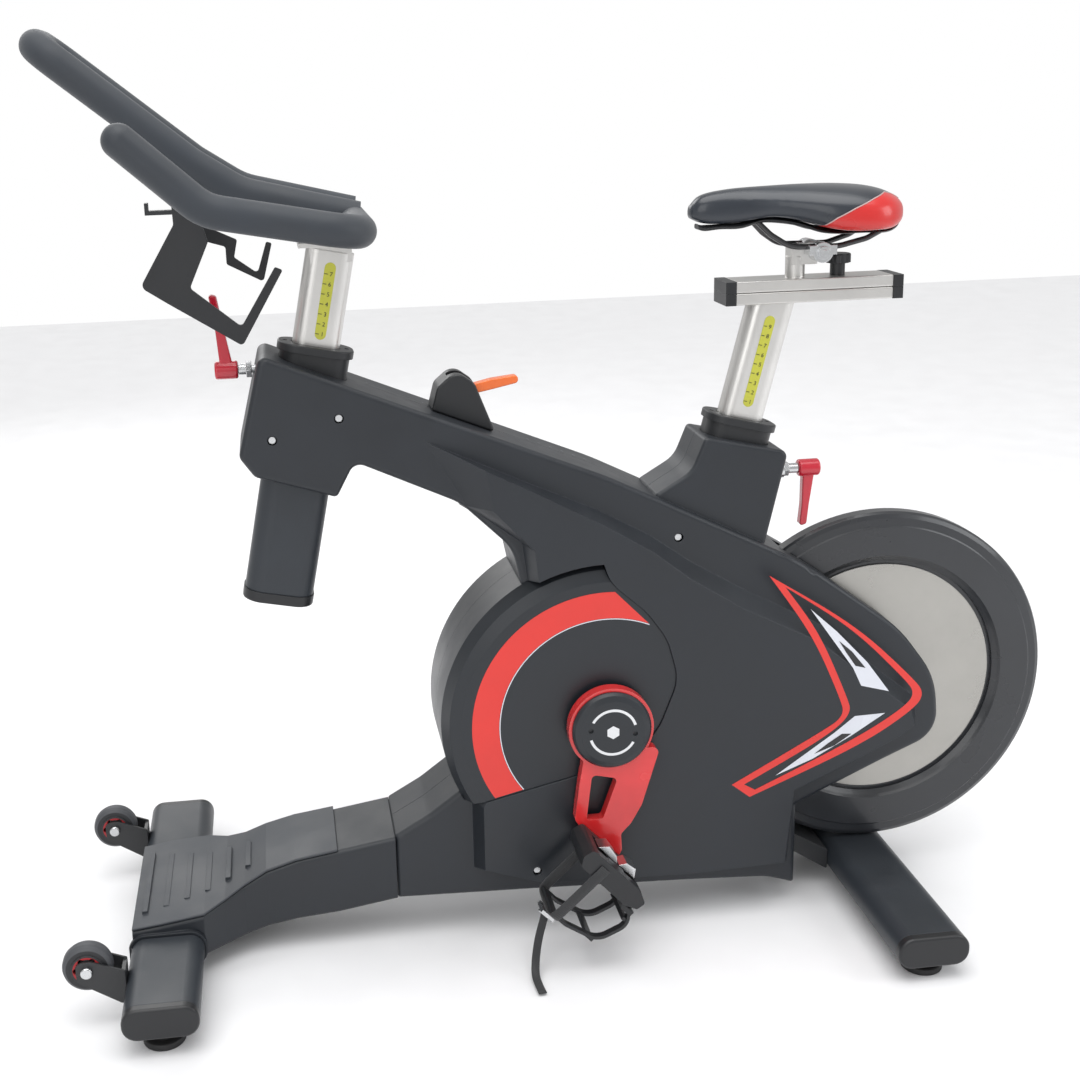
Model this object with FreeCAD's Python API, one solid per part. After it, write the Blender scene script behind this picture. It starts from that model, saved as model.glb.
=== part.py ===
import FreeCAD, Part
import math
import os

os.makedirs("parts", exist_ok=True)
V = FreeCAD.Vector

# Frame of the part: millimetres, +X to the rear, +Y to the rider's right,
# +Z up, origin on the floor under the middle of the bike's length.

# ---------------------------------------------------------------- driving sizes
crank_x = 32.0
crank_z = 304.0
crank_length = 170.0
crank_hang = 6.0            # degrees the left arm hangs in front of straight down
crank_inner_y = 95.0
crank_thick = 16.0
crank_ring_r = 56.0
cap_r = 52.0
cap_depth = 10.0

fly_x = 429.0
fly_z = 303.0
fly_r = 239.0
fly_rim_half = 17.0
fly_rim_inner = 170.0
fly_disc_r = 164.0
fly_web_half = 5.0
axle_r = 8.0
pulley_big_r = 110.0
pulley_small_r = 32.0
belt_y0 = 28.0
belt_width = 14.0
belt_thick = 4.0
belt_gap = 0.3

shell_half = 62.0           # half width of the beam covers
bulge_half = 88.0           # half width over the raised side panel
drum_half = 86.0            # half width over the round belt cover
drum_r = 216.0
wall = 3.0
joint_gap = 0.3             # covers meet with this gap
run_gap = 0.06              # running fit of a pin in its bore, on the radius

head_tilt = 11.5
head_ref = (-320.0, 800.0)  # point of the handlebar post's axis
seat_tilt = 14.5
seat_ref = (228.5, 675.0)
post_w = 60.0
post_d = 36.0
post_r = 16.0
post_wall = 2.5
post_slip = 1.0             # gap between a post and its guide
sleeve_w = 88.0
sleeve_d = 62.0
sleeve_wall = 4.0
collar_w = 96.0
collar_d = 68.0
collar_rim = 10.0
collar_depth = 46.0
head_top_s = 7.0            # the head collar's rim, along the post from head_ref
seat_top_s = 9.0
head_sleeve_len = 291.0
sleeve_cap_len = 14.0

bar_r = 19.0
bar_half_span = 211.0
loop_half = 50.0
bar_wall = 3.0

stab_front_x = -553.0
stab_rear_x = 408.0
stab_w = 93.0
stab_h = 42.0
stab_front_z = 46.0
stab_rear_z = 41.0
stab_front_half = 270.0
stab_rear_half = 276.0
stab_cap = 12.0
foot_r = 26.0
foot_front_y = 232.0
foot_rear_y = 238.0
flange_half = 112.0

wheel_x = -644.0
wheel_z = 79.0
wheel_y = 181.0
wheel_r = 31.0
wheel_w = 24.0
wheel_bolt_r = 4.0

slide_x0 = 202.0
slide_x1 = 437.0
slide_h = 15.0
slide_w = 52.0
slide_low_z = 833.0
slide_gap = 0.4
saddle_x0 = 163.0


# --------------------------------------------------------------------- helpers
def save(name, shape, refine=True):
    """Write one node as parts/NAME.step, in the part's own frame."""
    if refine and len(shape.Solids) == 1:
        shape = shape.removeSplitter()
    shape.exportStep("parts/%s.step" % name)
    print("%-20s %2d solid(s) %9.0f mm3 valid=%s"
          % (name, len(shape.Solids), shape.Volume, shape.isValid()))


def round_path(points, closed):
    """Lines through points, each corner turned by an arc of its own radius.

    points holds (Vector, radius). A radius is limited to what its two runs
    leave room for, so a size change never folds the path over itself.
    """
    n = len(points)
    corners = []
    for i in range(n):
        p, r = points[i]
        if not closed and i in (0, n - 1):
            corners.append((p, None, p))
            continue
        a = points[i - 1][0] - p
        b = points[(i + 1) % n][0] - p
        room = 0.48 * min(a.Length, b.Length)
        a.normalize()
        b.normalize()
        half = 0.5 * math.acos(max(-1.0, min(1.0, a.dot(b))))
        if r <= 0.01 or half > math.radians(89.5):
            corners.append((p, None, p))
            continue
        t = min(r / math.tan(half), room)
        r = t * math.tan(half)
        way = a + b
        way.normalize()
        middle = p + way * (r / math.sin(half) - r)
        corners.append((p + a * t, middle, p + b * t))
    edges = []
    for i in range(n):
        start, middle, end = corners[i]
        if middle is not None:
            edges.append(Part.Arc(start, middle, end).toShape())
        if i < n - 1 or closed:
            after = corners[(i + 1) % n][0]
            if (after - end).Length > 1e-3:
                edges.append(Part.LineSegment(end, after).toShape())
    return Part.Wire(edges)


def prism(points, y0, y1):
    """A flat outline (x, z, corner radius) carried along Y from y0 to y1."""
    loop = round_path([(V(x, y0, z), r) for x, z, r in points], True)
    return Part.Face(loop).extrude(V(0, y1 - y0, 0))


def inset(points, d):
    """The same outline moved inwards by d; corner radii follow."""
    n = len(points)
    area = sum(points[i][0] * points[(i + 1) % n][1]
               - points[(i + 1) % n][0] * points[i][1] for i in range(n))
    s = 1.0 if area > 0 else -1.0
    out = []
    for i in range(n):
        x0, z0, r0 = points[i - 1]
        x1, z1, r1 = points[i]
        x2, z2, r2 = points[(i + 1) % n]
        la = math.hypot(x1 - x0, z1 - z0)
        lb = math.hypot(x2 - x1, z2 - z1)
        na = (-s * (z1 - z0) / la, s * (x1 - x0) / la)
        nb = (-s * (z2 - z1) / lb, s * (x2 - x1) / lb)
        k = d / (1.0 + na[0] * nb[0] + na[1] * nb[1])
        turn = s * ((x1 - x0) * (z2 - z1) - (z1 - z0) * (x2 - x1))
        r = max(r1 - d, 0.5) if turn > 0 else r1 + d
        out.append((x1 + k * (na[0] + nb[0]), z1 + k * (na[1] + nb[1]), r))
    return out


def cyl_y(x, z, r, y0, y1):
    return Part.makeCylinder(r, y1 - y0, V(x, y0, z), V(0, 1, 0))


def cyl_x(y, z, r, x0, x1):
    return Part.makeCylinder(r, x1 - x0, V(x0, y, z), V(1, 0, 0))


def cyl_z(x, y, r, z0, z1):
    return Part.makeCylinder(r, z1 - z0, V(x, y, z0), V(0, 0, 1))


def box(x0, x1, y0, y1, z0, z1):
    return Part.makeBox(x1 - x0, y1 - y0, z1 - z0, V(x0, y0, z0))


def pill(w, d, r, s0, s1):
    """Rounded bar along Z, w along X and d along Y, from s0 to s1."""
    a, b = w / 2.0, d / 2.0
    loop = round_path([(V(-a, -b, s0), r), (V(a, -b, s0), r),
                       (V(a, b, s0), r), (V(-a, b, s0), r)], True)
    return Part.Face(loop).extrude(V(0, 0, s1 - s0))


def on_axis(shape, ref, tilt):
    """Stand a shape made along Z on a post's leaning axis."""
    s = shape.copy()
    s.rotate(V(0, 0, 0), V(0, 1, 0), tilt)
    s.translate(V(ref[0], 0, ref[1]))
    return s


def axis_point(ref, tilt, s):
    t = math.radians(tilt)
    return ref[0] + s * math.sin(t), ref[1] + s * math.cos(t)


def pipe(points, r, closed=False):
    """A round bar of radius r along a rounded path of (x, y, z, bend)."""
    path = round_path([(V(x, y, z), b) for x, y, z, b in points], closed)
    first = path.OrderedEdges[0]
    p = first.valueAt(first.FirstParameter)
    t = first.tangentAt(first.FirstParameter)
    ring = Part.Wire([Part.makeCircle(r, p, t)])
    return path.makePipeShell([ring], True, False)


def flat_pipe(points, width, thick, side):
    """A flat bar: width along the fixed direction side, thick across it."""
    path = round_path([(V(x, y, z), b) for x, y, z, b in points], False)
    first = path.OrderedEdges[0]
    p = first.valueAt(first.FirstParameter)
    t = first.tangentAt(first.FirstParameter)
    a = V(side)
    a.normalize()
    b = t.cross(a)
    b.normalize()
    c = [p + a * (i * width / 2.0) + b * (j * thick / 2.0)
         for i, j in ((-1, -1), (1, -1), (1, 1), (-1, 1))]
    ring = Part.makePolygon(c + [c[0]])
    return path.makePipeShell([ring], True, False)


def ring_y(x, z, profile):
    """Turn a profile of (radius, y) about the Y axis through (x, z)."""
    pts = [V(x + r, y, z) for r, y in profile]
    face = Part.Face(Part.makePolygon(pts + [pts[0]]))
    return face.revolve(V(x, 0, z), V(0, 1, 0), 360)


def mirror_y(shape):
    return shape.mirror(V(0, 0, 0), V(0, 1, 0))


def loft_x(stations, r):
    """Rounded boxes at each (x, half width, low z, high z), joined along X."""
    loops = []
    for x, h, z0, z1 in stations:
        loops.append(round_path([(V(x, -h, z0), r), (V(x, h, z0), r),
                                 (V(x, h, z1), r), (V(x, -h, z1), r)], True))
    return Part.makeLoft(loops, True, True)


def fuse(shapes):
    return shapes[0].fuse(shapes[1:])


# --------------------------------------------------------------- main outlines
spine = [(-390, 806, 10), (40, 628, 500), (300, 497, 500), (440, 392, 200),
         (494, 318, 120), (501, 236, 45), (420, 201, 60), (302, 147, 4),
         (302, 27, 3), (262, 40, 60), (150, 46, 200), (-60, 54, 200),
         (-250, 60, 3), (-250, 152, 3), (-204, 178, 60), (-130, 232, 20),
         (-72, 480, 40), (-84, 540, 60), (-150, 605, 80), (-280, 666, 14),
         (-304, 622, 6), (-404, 654, 12), (-422, 680, 12)]
tower = [(105, 595, 4), (154, 624, 40), (172, 668, 6), (283, 643, 10),
         (250, 502, 4), (165, 515, 4)]
bulge_base = [(-215, 700), (-74, 633), (29, 588), (95, 552), (150, 513),
              (227, 468), (330, 412), (420, 335), (462, 300), (470, 268),
              (448, 240), (390, 212), (300, 168), (292, 62), (150, 58),
              (-60, 64), (-150, 95), (-150, 200), (-98, 300), (-66, 470),
              (-76, 550), (-150, 602)]
bulge_top = [(-120, 652), (-66, 624), (25, 574), (93, 532), (143, 492),
             (213, 447), (316, 394), (405, 320), (446, 288), (454, 264),
             (436, 250), (382, 224), (288, 182), (278, 76), (150, 72),
             (-52, 78), (-134, 105), (-134, 196), (-84, 300), (-52, 470),
             (-60, 544), (-112, 600)]
# the window in the side covers that the round belt cover shows through
window = [(-230, 180, 4), (-165, 195, 4), (-119, 206, 4), (-14, 230, 4),
          (70, 249, 20), (103, 294, 60), (127, 355, 60), (112, 412, 80),
          (84, 452, 100), (37, 494, 60), (20, 545, 10), (-230, 545, 4)]


def ruled_body(lower, y0, upper, y1):
    """A closed body whose sides run straight from one outline to another."""
    a = Part.makePolygon([V(x, y0, z) for x, z in lower + lower[:1]])
    b = Part.makePolygon([V(x, y1, z) for x, z in upper + upper[:1]])
    return Part.makeLoft([a, b], True, True)


def bulge(d, depth):
    """Raised side panels, both sides; d insets them for the inner wall."""
    low = [(x, z) for x, z, r in inset([(x, z, 0) for x, z in bulge_base], d)]
    top = [(x, z) for x, z, r in inset([(x, z, 0) for x, z in bulge_top], d)]
    left = ruled_body(low, -(shell_half - 8.0), top, -depth)
    return [left, mirror_y(left)]


head_top = axis_point(head_ref, head_tilt, head_top_s)
seat_top = axis_point(seat_ref, seat_tilt, seat_top_s)


# --------------------------------------------------------------- side covers
def cover_body(d):
    """The whole cover as one solid; d moves every face inwards."""
    spine_body = prism(inset(spine, d) if d else spine,
                       -(shell_half - d), shell_half - d)
    tower_body = prism(inset(tower, d) if d else tower, -(47 - d), 47 - d)
    return spine_body, tower_body, bulge(d, bulge_half - d)


outer_spine, outer_tower, outer_bulge = cover_body(0.0)
inner_spine, inner_tower, inner_bulge = cover_body(wall)


def soften(body, y, r):
    """Round the long edges where the side faces meet the outline."""
    edges = [e for e in body.Edges
             if all(abs(abs(v.Point.y) - y) < 0.01 for v in e.Vertexes)]
    return body.makeFillet(r, edges)


outer_spine = soften(outer_spine, shell_half, 7.0)
outer_tower = soften(outer_tower, 47.0, 5.0)
covers = fuse([outer_spine, outer_tower] + outer_bulge)
cavity = fuse([inner_spine, inner_tower] + inner_bulge)
covers = covers.cut(cavity)

# openings: flywheel slot, posts, drum window, lever studs, web recess
slot = cyl_y(fly_x, fly_z, fly_r + 7.0, -26, 26)
head_hole = on_axis(pill(collar_w - 8 + 0.6, collar_d - 6 + 0.6, 24,
                         -330, 30), head_top, head_tilt)
head_foot = on_axis(pill(sleeve_w + 1.0, sleeve_d + 1.0, 24, -330, 30),
                    head_top, head_tilt)
seat_hole = on_axis(pill(collar_w - 8 + 0.6, collar_d - 6 + 0.6, 24,
                         -80, 30), seat_top, seat_tilt)
drum_zone = cyl_y(crank_x, crank_z, drum_r + joint_gap, -120, 120)
window_zone = drum_zone.common(prism(inset(window, -joint_gap), -120, 120))
web_cut = prism([(-160, 612, 2), (-40, 552, 2), (-40, 440, 2),
                 (-160, 440, 2)], -100, -46)
web_cut = web_cut.cut(prism([(-200, 720, 2), (60, 720, 2), (60, 506, 2),
                             (-140, 600, 2), (-200, 628, 2)], -110, 0))
stud_hole = cyl_x(0, 780, 7.0, -430, -330).fuse(cyl_x(0, 608, 7.0, 240, 320))
covers = covers.cut(fuse([slot, head_foot, seat_hole, window_zone,
                          stud_hole]))
base_rail = [(-506.3, 34, 2), (-506.3, 60, 2), (-440, 104, 4), (280, 104, 4),
             (361.3, 56, 2), (361.3, 26, 2), (300, 66, 4), (-400, 66, 4)]
rail_zone = prism(inset(base_rail, -0.5), -31, 31)
covers = covers.cut(rail_zone)
covers = covers.cut(head_hole.common(box(-420, -220, -60, 60, 700, 900)))

screw_spots = [(-297, 723, shell_half), (133, 541, shell_half),
               (-64, 97, bulge_half), (-380, 700, shell_half)]
for sx, sz, sy in screw_spots:
    covers = covers.cut(cyl_y(sx, sz, 6.0, -sy - 1, -sy + 8))
    covers = covers.cut(cyl_y(sx, sz, 6.0, sy - 8, sy + 1))
half_left = box(-500, 600, -120, -joint_gap / 2, 0, 1000)
half_right = box(-500, 600, joint_gap / 2, 120, 0, 1000)
shroud_left = covers.common(half_left)
shroud_right = covers.common(half_right)
for side, shell in (("left", shroud_left), ("right", shroud_right)):
    big = max(shell.Solids, key=lambda q: q.Volume)
    print("shroud", side, "solids", len(shell.Solids))
    save("shroud_" + side, big)


# --------------------------------------------------------------- belt covers
drum_profile = [(24, drum_half - wall - 2), (30, drum_half - wall),
                (drum_r - 26, drum_half - wall), (drum_r - 12, drum_half - 8),
                (drum_r - wall, drum_half - 26), (drum_r - wall, joint_gap / 2),
                (drum_r, joint_gap / 2), (drum_r, drum_half - 25),
                (drum_r - 9, drum_half - 6), (drum_r - 24, drum_half),
                (30, drum_half), (24, drum_half)]
drum = ring_y(crank_x, crank_z, drum_profile)
belt_right = drum.common(prism(window, 0, 120))
belt_right = belt_right.cut(box(crank_x - 26, crank_x + 26, -21, 21, 400, 560))
belt_left = mirror_y(belt_right)
save("belt_cover_left", max(belt_left.Solids, key=lambda q: q.Volume))
save("belt_cover_right", max(belt_right.Solids, key=lambda q: q.Volume))

# --------------------------------------------------------------- welded frame
beam = [(-345, 748, 4), (195, 524, 4), (170, 480, 4), (-345, 702, 4)]
plates = [(135, 72, 6), (135, 520, 6), (215, 516, 6), (262, 506, 8),
          (262, 470, 10), (300, 400, 10), (446, 325, 14), (458, 303, 14),
          (446, 281, 14), (200, 180, 10), (175, 72, 6)]
frame_solids = [prism(beam, -22, 22),
                box(crank_x - 25, crank_x + 25, -20, 20, 90, 540),
                cyl_y(crank_x, crank_z, 27.0, -24, 24),
                prism(base_rail, -30, 30),
                cyl_y(150, 86, 12.0, -53, 53), cyl_y(155, 498, 12.0, -53, 53),
                prism(plates, -56, -50), prism(plates, 50, 56),
                cyl_y(245, 498, 5.0, -53, 53),
                on_axis(pill(post_w + 16, post_d + 14, 20, -205, -48),
                        seat_top, seat_tilt)]
frame = fuse(frame_solids)
frame = frame.cut(prism(inset(base_rail, 3.0), -27, 27))
frame = frame.cut(prism(inset(beam, 3.0), -19, 19))
frame = frame.cut(box(crank_x - 22, crank_x + 22, -17, 17, 108, 262))
frame = frame.cut(box(crank_x - 22, crank_x + 22, -17, 17, 346, 520))
frame = frame.cut(cyl_y(crank_x, crank_z, 21.0, -30, 30))
frame = frame.cut(cyl_y(fly_x, fly_z, axle_r, -70, 70))
frame = frame.cut(on_axis(pill(post_w + 2 * post_slip, post_d + 2 * post_slip,
                               post_r + 1, -330, 60), seat_top, seat_tilt))
frame = frame.cut(on_axis(pill(sleeve_w, sleeve_d, 24, -330, 30),
                          head_top, head_tilt))
stud_r = 5.0
stud_front_z = 780.0
stud_rear_z = 608.0
frame = frame.cut(cyl_x(0, stud_rear_z, stud_r, 235, 300))
save("frame_weldment", max(frame.Solids, key=lambda q: q.Volume))

# head sleeve, its plug and both post collars
sleeve_top = -collar_depth
sleeve_end = sleeve_top - head_sleeve_len + sleeve_cap_len
sleeve = on_axis(pill(sleeve_w, sleeve_d, 24, sleeve_end, sleeve_top),
                 head_top, head_tilt)
sleeve = sleeve.cut(on_axis(pill(sleeve_w - 2 * sleeve_wall,
                                 sleeve_d - 2 * sleeve_wall, 20,
                                 sleeve_end - 5, sleeve_top + 5),
                            head_top, head_tilt))
save("head_sleeve", max(sleeve.Solids, key=lambda q: q.Volume))

plug = pill(sleeve_w + 3, sleeve_d + 3, 25, sleeve_end - sleeve_cap_len,
            sleeve_end)
plug = plug.makeFillet(3.0, [e for e in plug.Edges
                             if all(abs(v.Point.z - sleeve_end + sleeve_cap_len)
                                    < 0.01 for v in e.Vertexes)])
save("head_sleeve_plug", on_axis(plug, head_top, head_tilt))


def collar():
    rim = pill(collar_w, collar_d, 27, -collar_rim, 0)
    rim = rim.makeFillet(2.0, [e for e in rim.Edges
                               if all(abs(v.Point.z) < 0.01
                                      for v in e.Vertexes)])
    body = pill(collar_w - 8, collar_d - 6, 24, -collar_depth, -collar_rim)
    hole = pill(post_w + 2 * post_slip, post_d + 2 * post_slip, post_r + 1,
                -collar_depth - 1, 1)
    ring = rim.fuse(body).cut(hole)
    for sx in (-collar_w / 2 + 9, collar_w / 2 - 9):
        ring = ring.cut(cyl_z(sx, 0, 3.2, -4, 1))
    return ring


head_collar = on_axis(collar(), head_top, head_tilt)
head_collar = head_collar.cut(cyl_x(0, stud_front_z, stud_r, -430, -340))
seat_collar = on_axis(collar(), seat_top, seat_tilt)
save("post_collars", Part.makeCompound([head_collar, seat_collar]))

# --------------------------------------------------------------- base covers
front_cover = [(-597, 109, 30, 76), (-560, 110, 30, 81), (-505, 106, 30, 87),
               (-478, 86, 30, 94), (-452, 72, 33, 105), (-423, 66, 39, 119),
               (-383, 64, 44, 130), (-328, 63, 48, 138), (-250.3, 63, 60, 150)]
rear_cover = [(302.3, 64, 27, 145), (330, 76, 18, 114), (361, 100, 14, 88),
              (400, 110, 13, 74), (456, 111, 14, 66)]


def shrunk(stations, d):
    out = [(x, h - d, z0 - 20, z1 - d) for x, h, z0, z1 in stations]
    x0, h0, a0, b0 = out[0]
    x1, h1, a1, b1 = out[-1]
    return [(x0 - 1, h0, a0, b0)] + out + [(x1 + 1, h1, a1, b1)]


def flange(x, z, y0, y1):
    ring = round_stab(x, z, y0, y1, 4.0)
    return ring.cut(round_stab(x, z, y0 - 1, y1 + 1, joint_gap))


def round_stab(x, z, y0, y1, grow):
    """Flat-oval bar along Y, the stabilizer's section grown by grow."""
    a, b = stab_w / 2 + grow, stab_h / 2 + grow
    return prism([(x - a, z - b, b * 0.92), (x + a, z - b, b * 0.92),
                  (x + a, z + b, b * 0.92), (x - a, z + b, b * 0.92)], y0, y1)


def base_cover(stations, x, z):
    body = loft_x(stations, 6.0)
    body = body.cut(loft_x(shrunk(stations, wall), 4.0))
    body = body.cut(round_stab(x, z, -200, 200, joint_gap))
    for s in (-1, 1):
        y = s * (flange_half - 4.0)
        body = body.fuse(flange(x, z, min(y, y + s * 6), max(y, y + s * 6)))
    return body


front_body = base_cover(front_cover, stab_front_x, stab_front_z)
front_body = front_body.cut(box(-700, -602, -130, 130, 0, 100))
tread_low = [(x, h, z1, z1 + 3.5) for x, h, z0, z1 in front_cover[:-1]]
tread = loft_x([(x, h, a, b) for x, h, a, b in tread_low], 1.6)
rib_pitch = 27.0
for i in range(6):
    rx = -586.0 + i * rib_pitch
    half = 78.0 - i * 9.0
    rz = 80.5 + max(0.0, (rx + 560)) * 0.115 + max(0.0, rx + 505) * 0.26
    tread = tread.fuse(box(rx, rx + 7, -half, half, rz, rz + 5.0 + i * 0.4))
front_body = front_body.cut(loft_x([(x, h + 1, a, b + 9)
                                    for x, h, a, b in tread_low], 1.6))
front_body = front_body.cut(tread).cut(rail_zone)
save("base_cover_front", max(front_body.Solids, key=lambda q: q.Volume))
save("tread_plate", tread)
rear_body = base_cover(rear_cover, stab_rear_x, stab_rear_z)
rear_body = rear_body.cut(slot).cut(rail_zone)
save("base_cover_rear", max(rear_body.Solids, key=lambda q: q.Volume))

# --------------------------------------------------------------- stabilizers
caps = []
for name, x, z, half in (("front", stab_front_x, stab_front_z, stab_front_half),
                         ("rear", stab_rear_x, stab_rear_z, stab_rear_half)):
    tube = round_stab(x, z, -half + stab_cap, half - stab_cap, 0.0)
    tube = tube.cut(round_stab(x, z, -half, half, -3.0))
    foot_y = foot_front_y if name == "front" else foot_rear_y
    for s in (-1, 1):
        nut = cyl_z(x, s * foot_y, 9.0, z - stab_h / 2, z - stab_h / 2 + 12)
        tube = tube.fuse(nut)
        tube = tube.cut(cyl_z(x, s * foot_y, 5.0 + run_gap, 0, z))
    save("stabilizer_" + name, tube)
    for s in (-1, 1):
        cap = round_stab(x, z, -half, -half + stab_cap, 0.0)
        cap = cap.makeFillet(4.0, [e for e in cap.Edges
                                   if all(abs(v.Point.y + half) < 0.01
                                          for v in e.Vertexes)])
        lip = round_stab(x, z, -half + stab_cap, -half + stab_cap + 14, -3.0)
        cap = cap.fuse(lip)
        caps.append(cap if s < 0 else mirror_y(cap))
    for side, s in (("left", -1), ("right", 1)):
        low = z - stab_h / 2
        foot = cyl_z(x, s * foot_y, foot_r, 0, 9)
        foot = foot.makeFillet(2.5, foot.Edges)
        foot = foot.fuse(cyl_z(x, s * foot_y, 15.0, 9, low - 3.5))
        foot = foot.fuse(cyl_z(x, s * foot_y, 5.0, low - 5, low + 17))
        save("foot_%s_%s" % (name, side), foot)
save("stabilizer_caps", Part.makeCompound(caps))

# --------------------------------------------------------- transport wheels
brackets = []
bolts = []
cheek = [(wheel_x - 13, wheel_z - 13, 12), (wheel_x - 13, wheel_z + 13, 12),
         (wheel_x + 6, wheel_z + 13, 10), (-598, wheel_z - 3, 2),
         (-598, wheel_z - 48, 2), (-606, wheel_z - 46, 3)]
for s in (-1, 1):
    y = s * wheel_y
    inner = wheel_w / 2 + 1.0
    arms = [prism(cheek, y - inner - 3, y - inner),
            prism(cheek, y + inner, y + inner + 3),
            box(-603, -598, y - inner - 3, y + inner + 3,
                wheel_z - 47, wheel_z - 4)]
    fork = fuse(arms)
    fork = fork.cut(cyl_y(wheel_x, wheel_z, wheel_bolt_r, y - 30, y + 30))
    fork = fork.cut(round_stab(stab_front_x, stab_front_z, y - 40, y + 40, 0.0))
    brackets.append(fork)
    bolt = cyl_y(wheel_x, wheel_z, wheel_bolt_r, y - inner - 3, y + inner + 3)
    head = cyl_y(wheel_x, wheel_z, 7.5, y - inner - 8, y - inner - 3)
    head = head.makeFillet(2.2, [e for e in head.Edges
                                 if all(abs(v.Point.y - y + inner + 8) < 0.01
                                        for v in e.Vertexes)])
    nut = cyl_y(wheel_x, wheel_z, 6.5, y + inner + 3, y + inner + 8)
    bolts.append(fuse([bolt, head, nut]))
    side = "left" if s < 0 else "right"
    w = wheel_w / 2
    b = wheel_bolt_r + run_gap
    tyre = ring_y(wheel_x, wheel_z,
                  [(b, y - w), (20, y - w), (20, y - w + 1.5),
                   (wheel_r - 5, y - w + 1), (wheel_r - 1.5, y - w + 4),
                   (wheel_r, y - w + 8), (wheel_r, y + w - 8),
                   (wheel_r - 1.5, y + w - 4), (wheel_r - 5, y + w - 1),
                   (20, y + w - 1.5), (20, y + w), (b, y + w)])
    for k in range(6):
        a = math.radians(60 * k)
        hole = cyl_y(wheel_x + 13.5 * math.cos(a), wheel_z + 13.5 * math.sin(a),
                     3.6, y - 20, y + 20)
        tyre = tyre.cut(hole)
    save("transport_wheel_" + side, tyre)
save("wheel_brackets", Part.makeCompound(brackets))
save("wheel_bolts", Part.makeCompound(bolts))

# --------------------------------------------------------------- flywheel
ri = fly_rim_inner
f = fly_rim_half
rim = [(ri, -9), (ri + 6, -f + 3), (ri + 9, -f), (fly_r - 20, -f),
       (fly_r - 18, -f + 1.4), (fly_r - 8, -f + 2), (fly_r - 2.5, -f + 5),
       (fly_r, -f + 9), (fly_r, f - 9), (fly_r - 2.5, f - 5),
       (fly_r - 8, f - 2), (fly_r - 18, f - 1.4), (fly_r - 20, f),
       (ri + 9, f), (ri + 6, f - 3), (ri, 9), (ri, fly_web_half),
       (34, fly_web_half), (34, belt_y0 - 4), (17.5 + run_gap, belt_y0 - 4),
       (17.5 + run_gap, -20), (34, -20), (34, -fly_web_half),
       (ri, -fly_web_half)]
save("flywheel", ring_y(fly_x, fly_z, rim))
discs = []
for s in (-1, 1):
    y0 = s * (fly_web_half + 0.01)
    y1 = s * (fly_web_half + 3.0)
    disc = ring_y(fly_x, fly_z, [(35, y0), (fly_disc_r, y0),
                                 (fly_disc_r, y1), (35, y1)])
    discs.append(disc)
save("flywheel_discs", Part.makeCompound(discs))
small = [(axle_r + 1, belt_y0 - 4), (pulley_small_r + 3, belt_y0 - 4),
         (pulley_small_r + 3, belt_y0 - 1.5), (pulley_small_r, belt_y0 - 1.5),
         (pulley_small_r, belt_y0 + belt_width + 1.5),
         (pulley_small_r + 3, belt_y0 + belt_width + 1.5),
         (pulley_small_r + 3, belt_y0 + belt_width + 4),
         (axle_r + 1, belt_y0 + belt_width + 4)]
save("flywheel_pulley", ring_y(fly_x, fly_z, small))
axle = cyl_y(fly_x, fly_z, axle_r, -58, 58)
save("flywheel_axle", axle)

spindle_r = 12.5
bearings = []
for y0 in (-24.0, 12.0):
    bearings.append(cyl_y(crank_x, crank_z, 21.0, y0, y0 + 12).cut(
        cyl_y(crank_x, crank_z, spindle_r + run_gap, y0 - 1, y0 + 13)))
for y0 in (-20.0, belt_y0 - 14):
    bearings.append(cyl_y(fly_x, fly_z, 17.5, y0, y0 + 10).cut(
        cyl_y(fly_x, fly_z, axle_r, y0 - 1, y0 + 11)))
save("bearings", Part.makeCompound(bearings))

# --------------------------------------------------------------- crankset
save("crank_spindle", cyl_y(crank_x, crank_z, spindle_r,
                            -crank_inner_y, crank_inner_y))
big = [(spindle_r, belt_y0 - 1.5), (pulley_big_r + 3, belt_y0 - 1.5),
       (pulley_big_r + 3, belt_y0), (pulley_big_r, belt_y0),
       (pulley_big_r, belt_y0 + belt_width),
       (pulley_big_r + 3, belt_y0 + belt_width),
       (pulley_big_r + 3, belt_y0 + belt_width + 1.5),
       (spindle_r, belt_y0 + belt_width + 1.5)]
pulley = ring_y(crank_x, crank_z, big)
for k in range(6):
    a = math.radians(60 * k + 15)
    pulley = pulley.cut(cyl_y(crank_x + 66 * math.cos(a),
                              crank_z + 66 * math.sin(a), 22.0, 0, 60))
save("drive_pulley", pulley)


def belt_band(grow0, grow1, y0, y1):
    """Closed band round both pulleys, from radius+grow0 to radius+grow1."""
    c = math.hypot(fly_x - crank_x, fly_z - crank_z)
    lean = math.atan2(fly_z - crank_z, fly_x - crank_x)
    wrap = math.acos((pulley_big_r - pulley_small_r) / c)

    def loop(g):
        r1, r2 = pulley_big_r + g, pulley_small_r + g

        def at(x, z, r, ang):
            return V(x + r * math.cos(lean + ang), y0,
                     z + r * math.sin(lean + ang))
        a = at(crank_x, crank_z, r1, wrap)
        b = at(fly_x, fly_z, r2, wrap)
        d = at(fly_x, fly_z, r2, -wrap)
        e = at(crank_x, crank_z, r1, -wrap)
        far = at(fly_x, fly_z, r2, 0)
        near = at(crank_x, crank_z, r1, math.pi)
        return Part.Wire([Part.LineSegment(a, b).toShape(),
                          Part.Arc(b, far, d).toShape(),
                          Part.LineSegment(d, e).toShape(),
                          Part.Arc(e, near, a).toShape()])
    band = Part.Face(loop(grow1)).extrude(V(0, y1 - y0, 0))
    return band.cut(Part.Face(loop(grow0)).extrude(V(0, y1 - y0, 0)))


save("drive_belt", belt_band(belt_gap, belt_gap + belt_thick,
                             belt_y0 + belt_gap,
                             belt_y0 + belt_width - belt_gap))

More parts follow.
